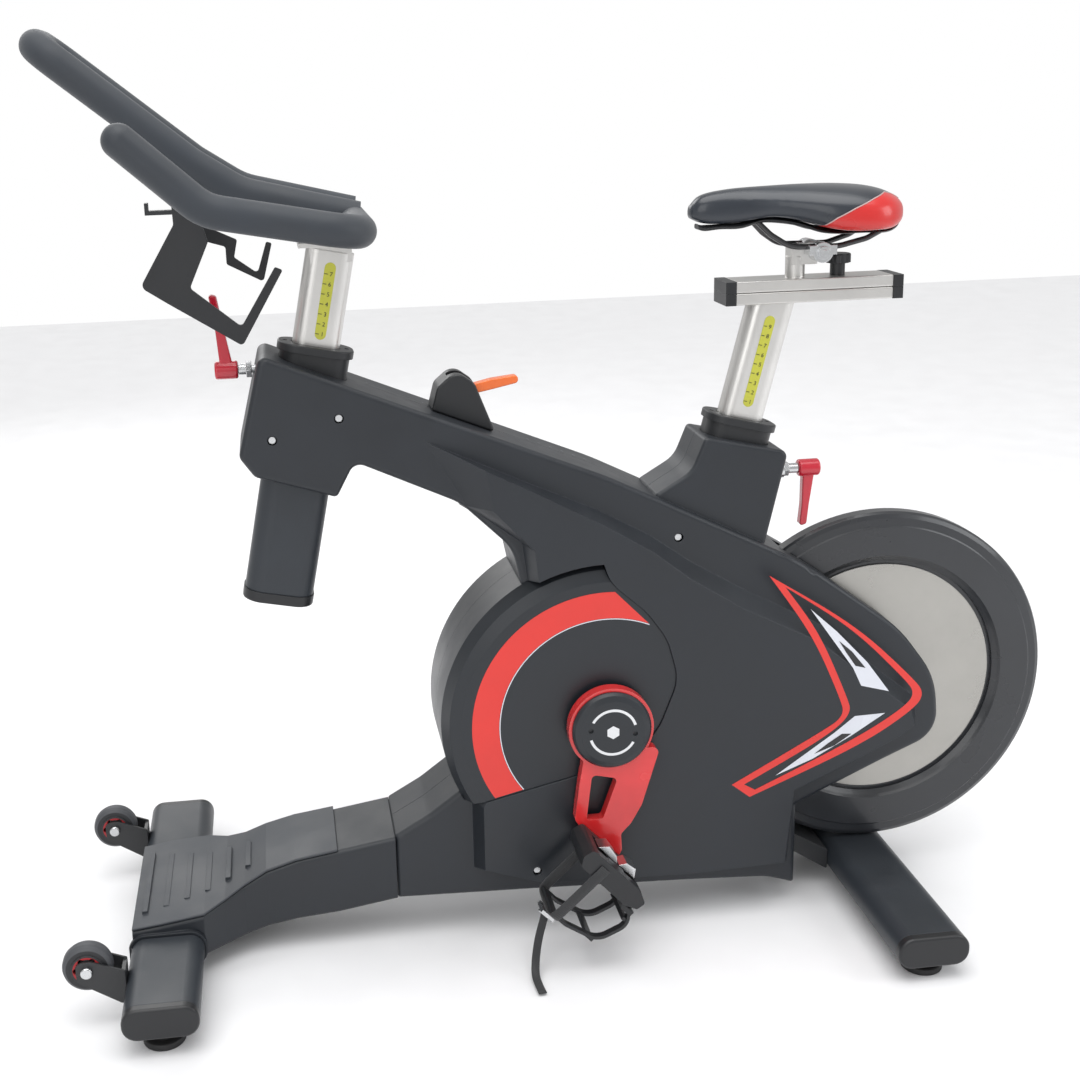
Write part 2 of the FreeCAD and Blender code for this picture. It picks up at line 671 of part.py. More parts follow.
hang = math.radians(crank_hang)
ped_l = (crank_x - crank_length * math.sin(hang),
         crank_z - crank_length * math.cos(hang))
ped_r = (crank_x + crank_length * math.sin(hang),
         crank_z + crank_length * math.cos(hang))
cy0, cy1 = -crank_inner_y - crank_thick, -crank_inner_y


def crank_arm():
    """Left arm: boss ring, two rails round a tapered window, pedal eye."""
    arm = [(-50, -30, 8), (-53, -75, 30), (-54, -124, 4), (-46, -136, 6),
           (-44, -158, 8), (-20, -186, 16), (16, -186, 16), (10, -150, 8),
           (22, -136, 6), (34, -110, 10), (44, -60, 10), (50, -30, 8)]
    # carry the outline down the arm's own hanging direction
    shift = 18.0
    pts = [(crank_x + x + shift * (1 + z / 170.0), crank_z + z, r)
           for x, z, r in arm]
    body = prism(pts, cy0, cy1)
    body = body.fuse(cyl_y(crank_x, crank_z, crank_ring_r, cy0, cy1))
    body = body.fuse(cyl_y(ped_l[0], ped_l[1], 17.0, cy0, cy1))
    hole = [(crank_x - 26, crank_z - 62, 6), (crank_x + 8, crank_z - 70, 6),
            (crank_x - 12, crank_z - 126, 5), (crank_x - 34, crank_z - 126, 4)]
    body = body.cut(prism(hole, cy0 - 1, cy1 + 1))
    body = body.cut(cyl_y(ped_l[0], ped_l[1], 7.0, cy0 - 1, cy1 + 1))
    return body


left_crank = crank_arm()
right_crank = mirror_y(left_crank)
right_crank.rotate(V(crank_x, 0, crank_z), V(0, 1, 0), 180)
save("crank_left", left_crank)
save("crank_right", right_crank)
cap = ring_y(crank_x, crank_z, [(0, cy0), (cap_r, cy0), (cap_r, cy0 - 3),
                                (cap_r - 3, cy0 - 7), (cap_r - 10, cy0 - 9.6),
                                (cap_r - 16, cy0 - cap_depth),
                                (0, cy0 - cap_depth)])
for s in (-1, 1):
    cap = cap.cut(cyl_y(crank_x + s * 29, crank_z - s * 4, 3.2,
                        cy0 - cap_depth - 1, cy0 - cap_depth + 3))
cap_other = mirror_y(cap)
cap_other.rotate(V(crank_x, 0, crank_z), V(0, 1, 0), 180)
save("crank_caps", Part.makeCompound([cap, cap_other]))

# --------------------------------------------------------------- pedals
ped_thread_r = 7.0
ped_r_body = 6.0
ped_y0 = cy0 - 4.0
ped_len = 74.0
spindles = []
for (px, pz), s in ((ped_l, -1), (ped_r, 1)):
    a, b = sorted((s * (crank_inner_y + 0.5), s * -cy0))
    rod = cyl_y(px, pz, ped_thread_r, a, b)
    a, b = sorted((s * -cy0, s * (-cy0 + 3)))
    rod = rod.fuse(cyl_y(px, pz, 9.5, a, b))
    a, b = sorted((s * -cy0, s * (-ped_y0 + ped_len - 4)))
    rod = rod.fuse(cyl_y(px, pz, ped_r_body, a, b))
    spindles.append(rod)
save("pedal_spindles", Part.makeCompound(spindles))

ped_lean = 47.0     # degrees the slab's toe end points below straight back


def ped_place(shape):
    """From the pedal's own frame (toe along +X, tread up) to the left end."""
    s = shape.copy()
    s.rotate(V(0, 0, 0), V(0, 1, 0), ped_lean)
    s.translate(V(ped_l[0], 0, ped_l[1]))
    return s


def pedal_body():
    y1, y0 = ped_y0, ped_y0 - ped_len
    slab = prism([(-42, -15, 6), (-50, -3, 5), (-46, 12, 5), (40, 13, 5),
                  (58, 4, 4), (56, -8, 4), (40, -15, 6)], y0, y1)
    for x0, x1 in ((-34, -14), (14, 36)):
        slab = slab.cut(box(x0, x1, y0 + 16, y1 - 16, -30, 30))
    slab = slab.cut(cyl_y(0, 0, ped_r_body + run_gap, y0 + 4, y1 + 1))
    jaw = prism([(-30, 13, 2), (-20, 22, 3), (-4, 19, 3), (4, 13, 1)],
                y0 + 24, y1 - 24)
    jaw2 = prism([(8, 13, 1), (14, 21, 3), (28, 23, 3), (36, 13, 1)],
                 y0 + 24, y1 - 24)
    return slab.fuse([jaw, jaw2])


def pedal_cage():
    y1, y0 = ped_y0 - 6, ped_y0 - ped_len + 6
    bars = []
    for y in (y0 + 3, y1 - 3):
        bars.append(flat_pipe([(50, y, -14, 0), (66, y, -34, 20),
                               (52, y, -74, 26), (4, y, -86, 20),
                               (-22, y, -86, 0)], 10.0, 4.0, V(0, 1, 0)))
    bars.append(box(54, 62, y0, y1, -33, -28))
    bars.append(box(-23, -11, y0 - 1, y1 + 1, -88, -84))
    bars.append(box(36, 48, y0, y1, -81, -77))
    cage = fuse(bars)
    foot = prism([(36, -15.1, 0), (58, -15.1, 0), (58, -22, 0), (40, -22, 0)],
                 y0 - 3, y1 + 3)
    cage = cage.fuse(foot)
    return cage.cut(pedal_body())


def pedal_strap():
    y1, y0 = ped_y0 + 1.5, ped_y0 - ped_len - 1.8
    hoop = flat_pipe([(-17, y1, 4, 0), (-17, y1, -91, 10),
                      (-17, y0, -91, 10), (-17, y0, 4, 0)],
                     14.0, 2.0, V(1, 0, 0))
    buckle = box(-27, -7, y0 + 16, y0 + 38, -97, -91)
    return hoop.fuse(buckle)


body_l = ped_place(pedal_body())
cage_l = ped_place(pedal_cage())
strap_l = ped_place(pedal_strap())
tail_top = ped_place(Part.Vertex(V(-17, ped_y0 - ped_len + 22, -96))).Point
tail = flat_pipe([(tail_top.x, tail_top.y, tail_top.z + 3, 0),
                  (tail_top.x - 14, tail_top.y - 6, 26, 30),
                  (tail_top.x - 20, tail_top.y - 26, 4.5, 14),
                  (tail_top.x - 16, tail_top.y - 62, 3.5, 0)],
                 10.0, 2.0, V(1, 0, 0))
strap_l = strap_l.fuse(tail)


def to_right(shape):
    """The other pedal hangs the same way up, from the other crank's end."""
    other = mirror_y(shape)
    other.translate(V(ped_r[0] - ped_l[0], 0, ped_r[1] - ped_l[1]))
    return other


for name, shape in (("pedal_body", body_l), ("pedal_cage", cage_l),
                    ("toe_strap", strap_l)):
    save(name + "_left", max(shape.Solids, key=lambda q: q.Volume))
    other = max(to_right(shape).Solids, key=lambda q: q.Volume)
    save(name + "_right", other)

# --------------------------------------------------------------- brake
line = math.tan(math.radians(22.49))
pivot = (-143.0, 738.0)


def top_z(x):
    return 806.0 - line * (x + 390.0)


house = [(-178, top_z(-178) + 0.3, 0), (-170, 748, 14), (-146, 768, 20),
         (-122, 750, 12), (-97, top_z(-97) + 0.3, 0)]
housing = prism(house, -24, 24)
housing = soften(housing, 24.0, 3.0)
housing = housing.cut(prism([(-156, 722, 2), (-156, 780, 2), (-60, 780, 2),
                             (-60, 700, 2), (-92, 694, 2)], -8, 8))
housing = housing.fuse(cyl_y(pivot[0], pivot[1], 4.0, -10, 10))
save("resistance_housing", housing)
lever = prism([(-12, -6, 5), (-12, 6, 5), (20, 6, 8), (46, 9, 20),
               (80, 9, 5), (80, -1, 5), (50, -4, 20), (16, -7, 10)], -7, 7)
lever = soften(lever, 7.0, 2.0)
lever.rotate(V(0, 0, 0), V(0, 1, 0), -6)
lever.translate(V(pivot[0], 0, pivot[1]))
lever = lever.cut(cyl_y(pivot[0], pivot[1], 4.0 + run_gap, -20, 20))
save("brake_lever", lever)
carrier_shape = [(233, 490, 6), (233, 508, 8), (257, 508, 8), (262, 486, 6),
                 (292, 462, 6), (274, 424, 6), (246, 432, 6), (238, 470, 6)]
carrier = fuse([prism(carrier_shape, -27, -21), prism(carrier_shape, 21, 27),
                cyl_y(245, 498, 9.0, -27, 27)])
carrier = carrier.cut(cyl_y(245, 498, 5.0 + run_gap, -40, 40))
save("magnet_carrier", carrier)

# ----------------------------------------------------------- clamp levers
def hex_nut(x, z, r, t):
    """A six-sided nut on an X axis, across-corners radius r."""
    pts = [V(x, r * math.cos(math.radians(60 * k)),
             z + r * math.sin(math.radians(60 * k))) for k in range(6)]
    return Part.Face(Part.makePolygon(pts + pts[:1])).extrude(V(t, 0, 0))


# each stud stops just short of the post that it clamps through its pad
stud_tip_gap = 0.7
head_tan = math.tan(math.radians(head_tilt))
seat_tan = math.tan(math.radians(seat_tilt))
front_tip = (head_ref[0] + (stud_front_z - stud_r - head_ref[1]) * head_tan
             - post_w / 2 / math.cos(math.radians(head_tilt)) - stud_tip_gap)
rear_tip = (seat_ref[0] + (stud_rear_z + stud_r - seat_ref[1]) * seat_tan
            + post_w / 2 / math.cos(math.radians(seat_tilt)) + stud_tip_gap)
stud_l = fuse([cyl_x(0, stud_front_z, stud_r, -441.5, front_tip),
               cyl_x(0, stud_front_z, 6.8, -416.5, -407),
               hex_nut(-407, stud_front_z, 11.0, 6.5)])
stud_b = fuse([cyl_x(0, stud_rear_z, stud_r, rear_tip, 335),
               cyl_x(0, stud_rear_z, 6.8, 296, 311.5),
               cyl_x(0, stud_rear_z, 12.0, 286, 291),
               hex_nut(291, stud_rear_z, 10.0, 7.0)])
save("clamp_studs", Part.makeCompound([stud_l, stud_b]))


def handle(x, z, out, reach, lean):
    """Clamp lever: hub on the stud, bent root and a flat tapered grip."""
    a, b = sorted((x, x + out * 29.0))
    hub = cyl_x(0, z, 11.5, a, b)
    hub = hub.makeFillet(3.0, [e for e in hub.Edges
                               if e.Curve.TypeId == "Part::GeomCircle"])
    xm = x + out * 14.0
    up = 1.0 if out < 0 else -1.0
    side = lean * 0.55
    grip = prism([(xm - 8, z + up * 4, 1), (xm + 8, z + up * 4, 1),
                  (xm + side + 5, z + up * reach * 0.62, 10),
                  (xm + lean + 5, z + up * (reach - 3), 4),
                  (xm + lean - 5, z + up * reach, 4),
                  (xm + side - 5, z + up * reach * 0.62, 10)], -6.5, 6.5)
    body = hub.fuse(soften(grip, 6.5, 2.0))
    bore = cyl_x(0, z, stud_r + run_gap,
                 min(x - out, x + out * 25), max(x - out, x + out * 25))
    return body.cut(bore)


save("front_lever", handle(-417.0, stud_front_z, -1.0, 96.0, -12.0))
save("rear_lever", handle(312.0, stud_rear_z, 1.0, 80.0, -6.0))

# ------------------------------------------------------------- handlebar group
post_top = 126.0
post = pill(post_w, post_d, post_r, -215, post_top)
post = post.cut(pill(post_w - 2 * post_wall, post_d - 2 * post_wall,
                     post_r - post_wall, -216, post_top - 6))
post = on_axis(post, head_ref, head_tilt)
hub_x, hub_z = axis_point(head_ref, head_tilt, post_top)
plate = box(hub_x - 40, hub_x + 46, -38, 38, hub_z + 7, hub_z + 13)
plate = plate.fuse(box(hub_x - 26, hub_x + 26, -16, 16, hub_z - 14, hub_z + 9))
post = post.fuse(plate)

z_rear = 960.0
outer_path = [(-520, -bar_half_span, 1068, 0),
              (-436, -bar_half_span - 2, 992, 60),
              (-267, -bar_half_span, z_rear, 44),
              (-267, bar_half_span, z_rear, 44),
              (-436, bar_half_span + 2, 992, 60),
              (-520, bar_half_span, 1068, 0)]
outer = pipe(outer_path, bar_r)
tips = []
for s in (-1, 1):
    tips.append(Part.makeSphere(bar_r, V(-520, s * bar_half_span, 1068)))
loop_path = [(-262, -loop_half, 966, 0), (-400, -loop_half, 1000, 90),
             (-455, -loop_half, 1036, 90), (-623, -loop_half, 1174, 34),
             (-623, loop_half, 1174, 34), (-455, loop_half, 1036, 90),
             (-400, loop_half, 1000, 90), (-262, loop_half, 966, 0)]
loop = pipe(loop_path, bar_r)
pad = prism([(-345, 967, 12), (-345, 990, 10), (-262, 972, 8), (-262, 950, 8)],
            -60, 60)
bars = fuse([outer, loop] + tips)
bars = bars.cut(pipe(outer_path, bar_r - bar_wall))
bars = bars.cut(pipe(loop_path, bar_r - bar_wall))
bars = bars.fuse(pad)
bars = bars.cut(box(-400, -200, -44, 44, 900, hub_z + 13))
post = post.cut(bars)
save("handlebar_post", max(post.Solids, key=lambda q: q.Volume))
save("handlebar", max(bars.Solids, key=lambda q: q.Volume))

near = [(-462, 1022, 3), (-441, 944, 6), (-466, 890, 5), (-408, 841, 5),
        (-364, 911, 2), (-355, 907, 2), (-408, 818, 5), (-493, 873, 5),
        (-524, 894, 8), (-480, 966, 6), (-482, 1034, 3)]
far = [(-452, 1022, 3), (-438, 950, 6), (-409, 936, 3), (-414, 914, 3),
       (-386, 893, 4), (-373, 932, 2), (-366, 930, 2), (-379, 882, 4),
       (-424, 906, 4), (-424, 928, 4), (-456, 938, 6), (-472, 1030, 3)]
holder = [prism(near, -54, -49), prism(far, 49, 54),
          cyl_y(-462, 985, 6.0, -52, 52),
          box(-512, -478, -54, -40, 978, 983),
          box(-512, -508, -54, -40, 978, 992)]
holder = fuse(holder).cut(bars)
save("accessory_holder", max(holder.Solids, key=lambda q: q.Volume))

# ------------------------------------------------------------------ seat group
seat_post_top = (slide_low_z - seat_ref[1]) / math.cos(math.radians(seat_tilt))
seat_post_bottom = -150.0
sp = pill(post_w, post_d, post_r, seat_post_bottom, seat_post_top + 20)
sp = sp.cut(pill(post_w - 2 * post_wall, post_d - 2 * post_wall,
                 post_r - post_wall, seat_post_bottom - 1, seat_post_top + 21))
sp = on_axis(sp, seat_ref, seat_tilt)
sp = sp.cut(box(0, 500, -100, 100, slide_low_z, 1000))
save("seat_post", sp)
hw = slide_w / 2
cap_len = 14.0


def slide_bar(z0):
    bar = prism([(slide_x0 + cap_len, z0, 0), (slide_x0 + cap_len,
                                               z0 + slide_h, 0),
                 (slide_x1 - cap_len, z0 + slide_h, 0),
                 (slide_x1 - cap_len, z0, 0)], -hw, hw)
    bar = bar.makeFillet(2.0, [e for e in bar.Edges
                               if all(abs(abs(v.Point.y) - hw) < 0.01
                                      for v in e.Vertexes)
                               and abs(e.Vertexes[0].Point.x
                                       - e.Vertexes[1].Point.x) > 5])
    core = box(slide_x0, slide_x1, -hw + 3, hw - 3, z0 + 3, z0 + slide_h - 3)
    return bar.cut(core)


def slide_caps(z0):
    out = []
    for a, b, lip in ((slide_x0, slide_x0 + cap_len, 12),
                      (slide_x1 - cap_len, slide_x1, -12)):
        c = box(a, b, -hw - 1.5, hw + 1.5, z0, z0 + slide_h)
        c = c.makeFillet(1.8, [e for e in c.Edges
                               if abs(e.Vertexes[0].Point.z
                                      - e.Vertexes[1].Point.z) > 5])
        p, q = sorted((b if lip > 0 else a, (b if lip > 0 else a) + lip))
        c = c.fuse(box(p, q, -hw + 3, hw - 3, z0 + 3, z0 + slide_h - 3))
        out.append(c)
    return Part.makeCompound(out)


up_z = slide_low_z + slide_h + slide_gap
knob_x = 358.0
lower = slide_bar(slide_low_z)
lower = lower.cut(box(knob_x - 70, knob_x + 50, -5, 5, slide_low_z + 5, 870))
save("slide_lower", lower)
save("slide_caps_lower", slide_caps(slide_low_z))
post_x = 301.0
eye = (326.0, 896.5)
upper = slide_bar(up_z)
upper = upper.fuse(cyl_z(post_x, 0, 12.5, up_z + slide_h - 3, 890))
upper = upper.fuse(cyl_y(eye[0], eye[1], 10.5, -12, 12))
upper = upper.fuse(box(post_x - 9, eye[0], -12, 12, 880, eye[1] + 6))
upper = upper.cut(cyl_y(eye[0], eye[1], 4.0 + run_gap, -20, 20))
upper = upper.cut(cyl_z(knob_x, 0, 5.0 + run_gap, up_z - 5, up_z + 30))
save("slide_upper", upper)
save("slide_caps_upper", slide_caps(up_z))
zt = up_z + slide_h
knob = cyl_z(knob_x, 0, 5.0, up_z + 0.5, zt + 8)
knob = knob.fuse(cyl_z(knob_x, 0, 9.5, zt + 0.4, zt + 17))
head = cyl_z(knob_x, 0, 15.0, zt + 16, zt + 28)
for k in range(6):
    a = math.radians(60 * k + 10)
    head = head.fuse(cyl_z(knob_x + 13.0 * math.cos(a), 13.0 * math.sin(a),
                           5.0, zt + 17, zt + 27))
save("slide_knob", knob.fuse(head))

rail_r = 3.6
rails = []
for s in (-1, 1):
    rails.append(pipe([(240, s * 11, 942, 0), (262, s * 16, 920, 25),
                       (286, s * 23, 904, 40), (350, s * 23, 903, 40),
                       (384, s * 29, 912, 30), (400, s * 32, 921, 0)], rail_r))
clamp_parts = []
for s in (-1, 1):
    a, b = sorted((s * 12.3, s * 33.0))
    ear = cyl_y(eye[0], eye[1], 13.0, a, b)
    ear = ear.fuse(box(eye[0] - 18, eye[0] + 18, a, b, eye[1] - 3, eye[1] + 9))
    clamp_parts.append(ear)
clamp_parts.append(cyl_y(eye[0], eye[1], 4.0, -40, 40))
clamp_parts.append(cyl_y(eye[0], eye[1], 8.0, -38, -33))
clamp_parts.append(cyl_y(eye[0], eye[1], 8.0, 33, 38))
clamp = fuse(clamp_parts)
rail_set = Part.makeCompound(rails)
clamp = clamp.cut(rail_set)
save("saddle_clamp", clamp)


def saddle_loft(stations):
    """Closed smooth loops along X, crowned on top and arched underneath."""
    loops = []
    for x, h, z0, z1, arch in stations:
        t = z1 - z0
        zm = z0 + 0.52 * t
        pts = [V(x, -h, zm), V(x, -0.72 * h, z0 + 0.90 * t),
               V(x, 0, z1), V(x, 0.72 * h, z0 + 0.90 * t),
               V(x, h, zm), V(x, 0.90 * h, z0 + 0.06 * t),
               V(x, 0.5 * h, z0 + 0.6 * arch), V(x, 0, z0 + arch),
               V(x, -0.5 * h, z0 + 0.6 * arch),
               V(x, -0.90 * h, z0 + 0.06 * t)]
        curve = Part.BSplineCurve()
        curve.interpolate(pts, PeriodicFlag=True)
        loops.append(Part.Wire([curve.toShape()]))
    return Part.makeLoft(loops, True, False)


pad_stations = [(163, 11, 942, 960, 1), (170, 18, 935, 971, 2),
                (185, 22, 932, 977, 3), (210, 25, 931, 980, 5),
                (232, 28, 932, 981, 6), (257, 34, 937, 981, 6),
                (280, 42, 934, 981.5, 7), (300, 51, 928, 982, 9),
                (322, 62, 918, 982, 12), (345, 70, 911, 982, 16),
                (365, 74, 909, 981, 18), (385, 74, 910, 979.5, 17),
                (400, 69, 912, 976.5, 14), (412, 60, 916, 972, 10),
                (422, 48, 922, 967, 6), (430, 34, 929, 961, 3),
                (435, 20, 935, 956, 1)]
pad = saddle_loft(pad_stations)
save("saddle_pad", pad, False)
shell_stations = [(x, h * 0.55, z0 + arch - 7, z0 + arch - 0.6, 0)
                  for x, h, z0, z1, arch in pad_stations[1:-1]]
base = saddle_loft(shell_stations)
base = base.cut(saddle_loft([(x, h + 0.3, z0 - 0.5, z1, arch)
                             for x, h, z0, z1, arch in pad_stations]))
base = max(base.Solids, key=lambda q: q.Volume)
save("saddle_base", base, False)
save("saddle_rails", Part.makeCompound(
    [max(rail.cut(base).cut(pad).Solids, key=lambda q: q.Volume)
     for rail in rails]))

# ------------------------------------------------------------------- fasteners
screws = []
for sx, sz, sy in screw_spots:
    for s in (-1, 1):
        a, b = sorted((s * (sy - wall - 6), s * (sy - wall - 0.4)))
        screws.append(cyl_y(sx, sz, 4.6, a, b))
save("cover_screws", Part.makeCompound(screws))
print(len(os.listdir("parts")), "files")
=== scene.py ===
# %% [markdown]
# # A studio cycling bike, dressed for a product picture
# The metal and plastic parts were made in CAD and arrive packed as one model. Every
# part already stands in its real place, in metres, with +X to the rear and +Z up.
# Here they get their finishes, and what CAD leaves plain is made: the padded saddle,
# the pedals' webbing, the stickers, the scales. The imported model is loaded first,
# because every later size is measured from it.

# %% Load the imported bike
import math

import bmesh
import bpy
import numpy as np
from mathutils import Matrix, Vector
from mathutils.bvhtree import BVHTree


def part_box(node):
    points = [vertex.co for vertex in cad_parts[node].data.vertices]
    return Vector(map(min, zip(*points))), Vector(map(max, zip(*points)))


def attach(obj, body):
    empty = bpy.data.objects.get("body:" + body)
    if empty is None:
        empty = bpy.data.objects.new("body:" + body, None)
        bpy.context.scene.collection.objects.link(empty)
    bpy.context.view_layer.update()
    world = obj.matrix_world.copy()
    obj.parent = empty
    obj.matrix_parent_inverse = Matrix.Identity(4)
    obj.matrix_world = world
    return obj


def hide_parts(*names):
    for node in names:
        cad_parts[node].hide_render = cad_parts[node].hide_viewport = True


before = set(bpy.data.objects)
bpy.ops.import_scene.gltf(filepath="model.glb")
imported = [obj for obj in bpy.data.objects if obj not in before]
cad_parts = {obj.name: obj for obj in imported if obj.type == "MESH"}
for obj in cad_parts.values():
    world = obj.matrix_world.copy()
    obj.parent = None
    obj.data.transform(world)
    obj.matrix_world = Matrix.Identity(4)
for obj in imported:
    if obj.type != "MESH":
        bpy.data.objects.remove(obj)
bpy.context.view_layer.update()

# %% [markdown]
# ## The camera
# The bike is seen from its left side, a little from the front and from a little
# above the saddle. A camera is a position plus three turns: yaw round the upright,
# pitch below the horizon and a small roll. Building the rotation from the looking
# direction keeps those three numbers readable.

# %% Aim the camera
eye = Vector((-0.3668, -1.83066, 1.10632))
yaw, pitch, roll = 0.115235, 0.250898, 0.031726


def looking_matrix(yaw, pitch, roll):
    """Columns are the camera's right, up and backward directions.

    Forward = (sin yaw cos pitch, cos yaw cos pitch, -sin pitch); right is forward
    crossed with the upright; roll turns right and up about forward.
    """
    forward = Vector((math.sin(yaw) * math.cos(pitch),
                      math.cos(yaw) * math.cos(pitch), -math.sin(pitch)))
    right = forward.cross(Vector((0, 0, 1))).normalized()
    up = right.cross(forward)
    turned_right = right * math.cos(roll) - up * math.sin(roll)
    turned_up = right * math.sin(roll) + up * math.cos(roll)
    return Matrix((turned_right, turned_up, -forward)).transposed()


lens = bpy.data.cameras.new("studio_camera")
lens.sensor_width = 36.0
lens.lens = 48.973
lens.shift_x, lens.shift_y = 0.0836, -0.0649
lens.clip_start, lens.clip_end = 0.05, 30.0
camera = bpy.data.objects.new("studio_camera", lens)
camera.matrix_world = Matrix.Translation(eye) @ looking_matrix(yaw, pitch, roll).to_4x4()
bpy.context.scene.collection.objects.link(camera)
bpy.context.scene.camera = camera
print("camera at", tuple(round(c, 3) for c in eye))

# %% [markdown]
# ## Helpers for shapes
# Nearly every new piece is either a profile carried along a path, such as webbing or
# piping, or a grid of points with quads between them. Both are worked out as whole
# numpy arrays, which is quick and keeps each shape's formula in one place.

# %% Turn points into a piece of the bike
def piece(name, points, faces, finish, body, smooth=True, closed=False):
    """A mesh from (n, 3) points and faces, given a finish and put on a moving body.

    A closed piece has its doubles merged and its normals turned outwards.
    """
    shape = bpy.data.meshes.new(name)
    shape.from_pydata(np.asarray(points, float).reshape(-1, 3).tolist(), [],
                      [tuple(int(i) for i in f) for f in faces])
    if closed:
        work = bmesh.new()
        work.from_mesh(shape)
        bmesh.ops.remove_doubles(work, verts=work.verts, dist=1e-6)
        bmesh.ops.recalc_face_normals(work, faces=work.faces)
        work.to_mesh(shape)
        work.free()
    shape.polygons.foreach_set("use_smooth", np.full(len(shape.polygons), smooth))
    shape.materials.append(finish)
    made = bpy.data.objects.new(name, shape)
    bpy.context.scene.collection.objects.link(made)
    if body:
        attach(made, body)
    return made


def grid_faces(rows, cols, wrap_rows=False, wrap_cols=False):
    """Quads joining each point of a rows x cols grid to its next row and column."""
    i = np.arange(rows if wrap_rows else rows - 1)
    j = np.arange(cols if wrap_cols else cols - 1)
    a, b = (m.ravel() for m in np.meshgrid(i, j, indexing="ij"))
    a2, b2 = (a + 1) % rows, (b + 1) % cols
    return np.stack([a * cols + b, a * cols + b2, a2 * cols + b2, a2 * cols + b], 1)


def eased(points, rounds=3, closed=False):
    """Cut every corner at a quarter of each run, again and again: a smooth line."""
    p = np.asarray(points, float)
    for _ in range(rounds):
        nxt = np.roll(p, -1, 0) if closed else p[1:]
        now = p if closed else p[:-1]
        cut = np.stack([0.75 * now + 0.25 * nxt, 0.25 * now + 0.75 * nxt], 1)
        cut = cut.reshape(-1, p.shape[1])
        p = cut if closed else np.vstack([p[:1], cut[1:-1], p[-1:]])
    return p


def carried(path, section, side, closed=False):
    """A section (u, v) carried along a path.

    u runs along the side direction made square to the path, v along path x side.
    """
    path = np.asarray(path, float)
    if closed:
        way = np.roll(path, -1, 0) - np.roll(path, 1, 0)
    else:
        way = np.gradient(path, axis=0)
    way /= np.linalg.norm(way, axis=1, keepdims=True)
    side = np.broadcast_to(np.asarray(side, float), path.shape)
    u = side - way * np.sum(side * way, 1, keepdims=True)
    u /= np.linalg.norm(u, axis=1, keepdims=True)
    v = np.cross(way, u)
    s = np.asarray(section, float)
    return (path[:, None, :] + s[None, :, :1] * u[:, None, :]
            + s[None, :, 1:] * v[:, None, :])


def rod(name, path, section, side, finish, body, closed=False, smooth=True):
    """A closed piece: the carried section, with its two ends filled."""
    grid = carried(path, section, side, closed)
    rows, cols = grid.shape[:2]
    faces = grid_faces(rows, cols, closed, True).tolist()
    if not closed:
        faces += [list(range(cols)), list(range((rows - 1) * cols, rows * cols))]
    return piece(name, grid, faces, finish, body, smooth, True)


def round_section(r, count=16):
    """Points of a circle of radius r."""
    a = np.linspace(0, 2 * np.pi, count, endpoint=False)
    return np.stack([r * np.cos(a), r * np.sin(a)], 1)


def band_section(width, thick, corner=0.25):
    """A flat band's outline: a rectangle whose corners are cut by a share of thick."""
    w, t, c = width / 2, thick / 2, corner * thick
    return np.array([(-w + c, -t), (w - c, -t), (w, -t + c), (w, t - c),
                     (w - c, t), (-w + c, t), (-w, t - c), (-w, -t + c)])


# %% [markdown]
# ## Effects that many finishes share
# Moulded plastic has a fine sandblasted grain, painted edges wear pale, and a level
# top gathers dust. Each of these is a node group with named inputs, so every finish
# can use it with its own strength. All of them read object coordinates in metres, so
# a grain of half a millimetre is half a millimetre on every part.

# %% Small helpers for node trees
def put(tree, kind, values=None, **settings):
    """Add a node, set its sockets from values and its properties from settings."""
    made = tree.nodes.new(kind)
    for key, value in settings.items():
        setattr(made, key, value)
    for key, value in (values or {}).items():
        made.inputs[key].default_value = value
    return made


def join(tree, *pairs):
    """Link each (output socket, input socket) pair."""
    for out, into in pairs:
        tree.links.new(out, into)


def effect(name, inputs, outputs):
    """An empty shader group with named float or vector sockets."""
    tree = bpy.data.node_groups.new(name, "ShaderNodeTree")
    for label, value in inputs:
        made = tree.interface.new_socket(label, in_out="INPUT",
                                         socket_type="NodeSocketFloat")
        made.default_value = value
    for label, kind in outputs:
        tree.interface.new_socket(label, in_out="OUTPUT", socket_type=kind)
    return tree, put(tree, "NodeGroupInput"), put(tree, "NodeGroupOutput")


FLOAT, VECTOR = "NodeSocketFloat", "NodeSocketVector"


# %% The grain of moulded and coated surfaces
def make_grain():
    """Height = fine noise at Scale; Patches = slow noise, a hand's width across."""
    tree, start, end = effect("surface_grain", [("Scale", 900.0), ("Patch scale", 9.0)],
                              [("Height", FLOAT), ("Patches", FLOAT)])
    where = put(tree, "ShaderNodeTexCoord")
    fine = put(tree, "ShaderNodeTexNoise", {"Detail": 2.0, "Roughness": 0.6})
    slow = put(tree, "ShaderNodeTexNoise", {"Detail": 4.0, "Roughness": 0.6})
    spread = put(tree, "ShaderNodeMapRange", {"From Min": 0.35, "From Max": 0.65})
    join(tree, (where.outputs["Object"], fine.inputs["Vector"]),
         (where.outputs["Object"], slow.inputs["Vector"]),
         (start.outputs["Scale"], fine.inputs["Scale"]),
         (start.outputs["Patch scale"], slow.inputs["Scale"]),
         (fine.outputs["Fac"], end.inputs["Height"]),
         (slow.outputs["Fac"], spread.inputs["Value"]),
         (spread.outputs["Result"], end.inputs["Patches"]))
    return tree


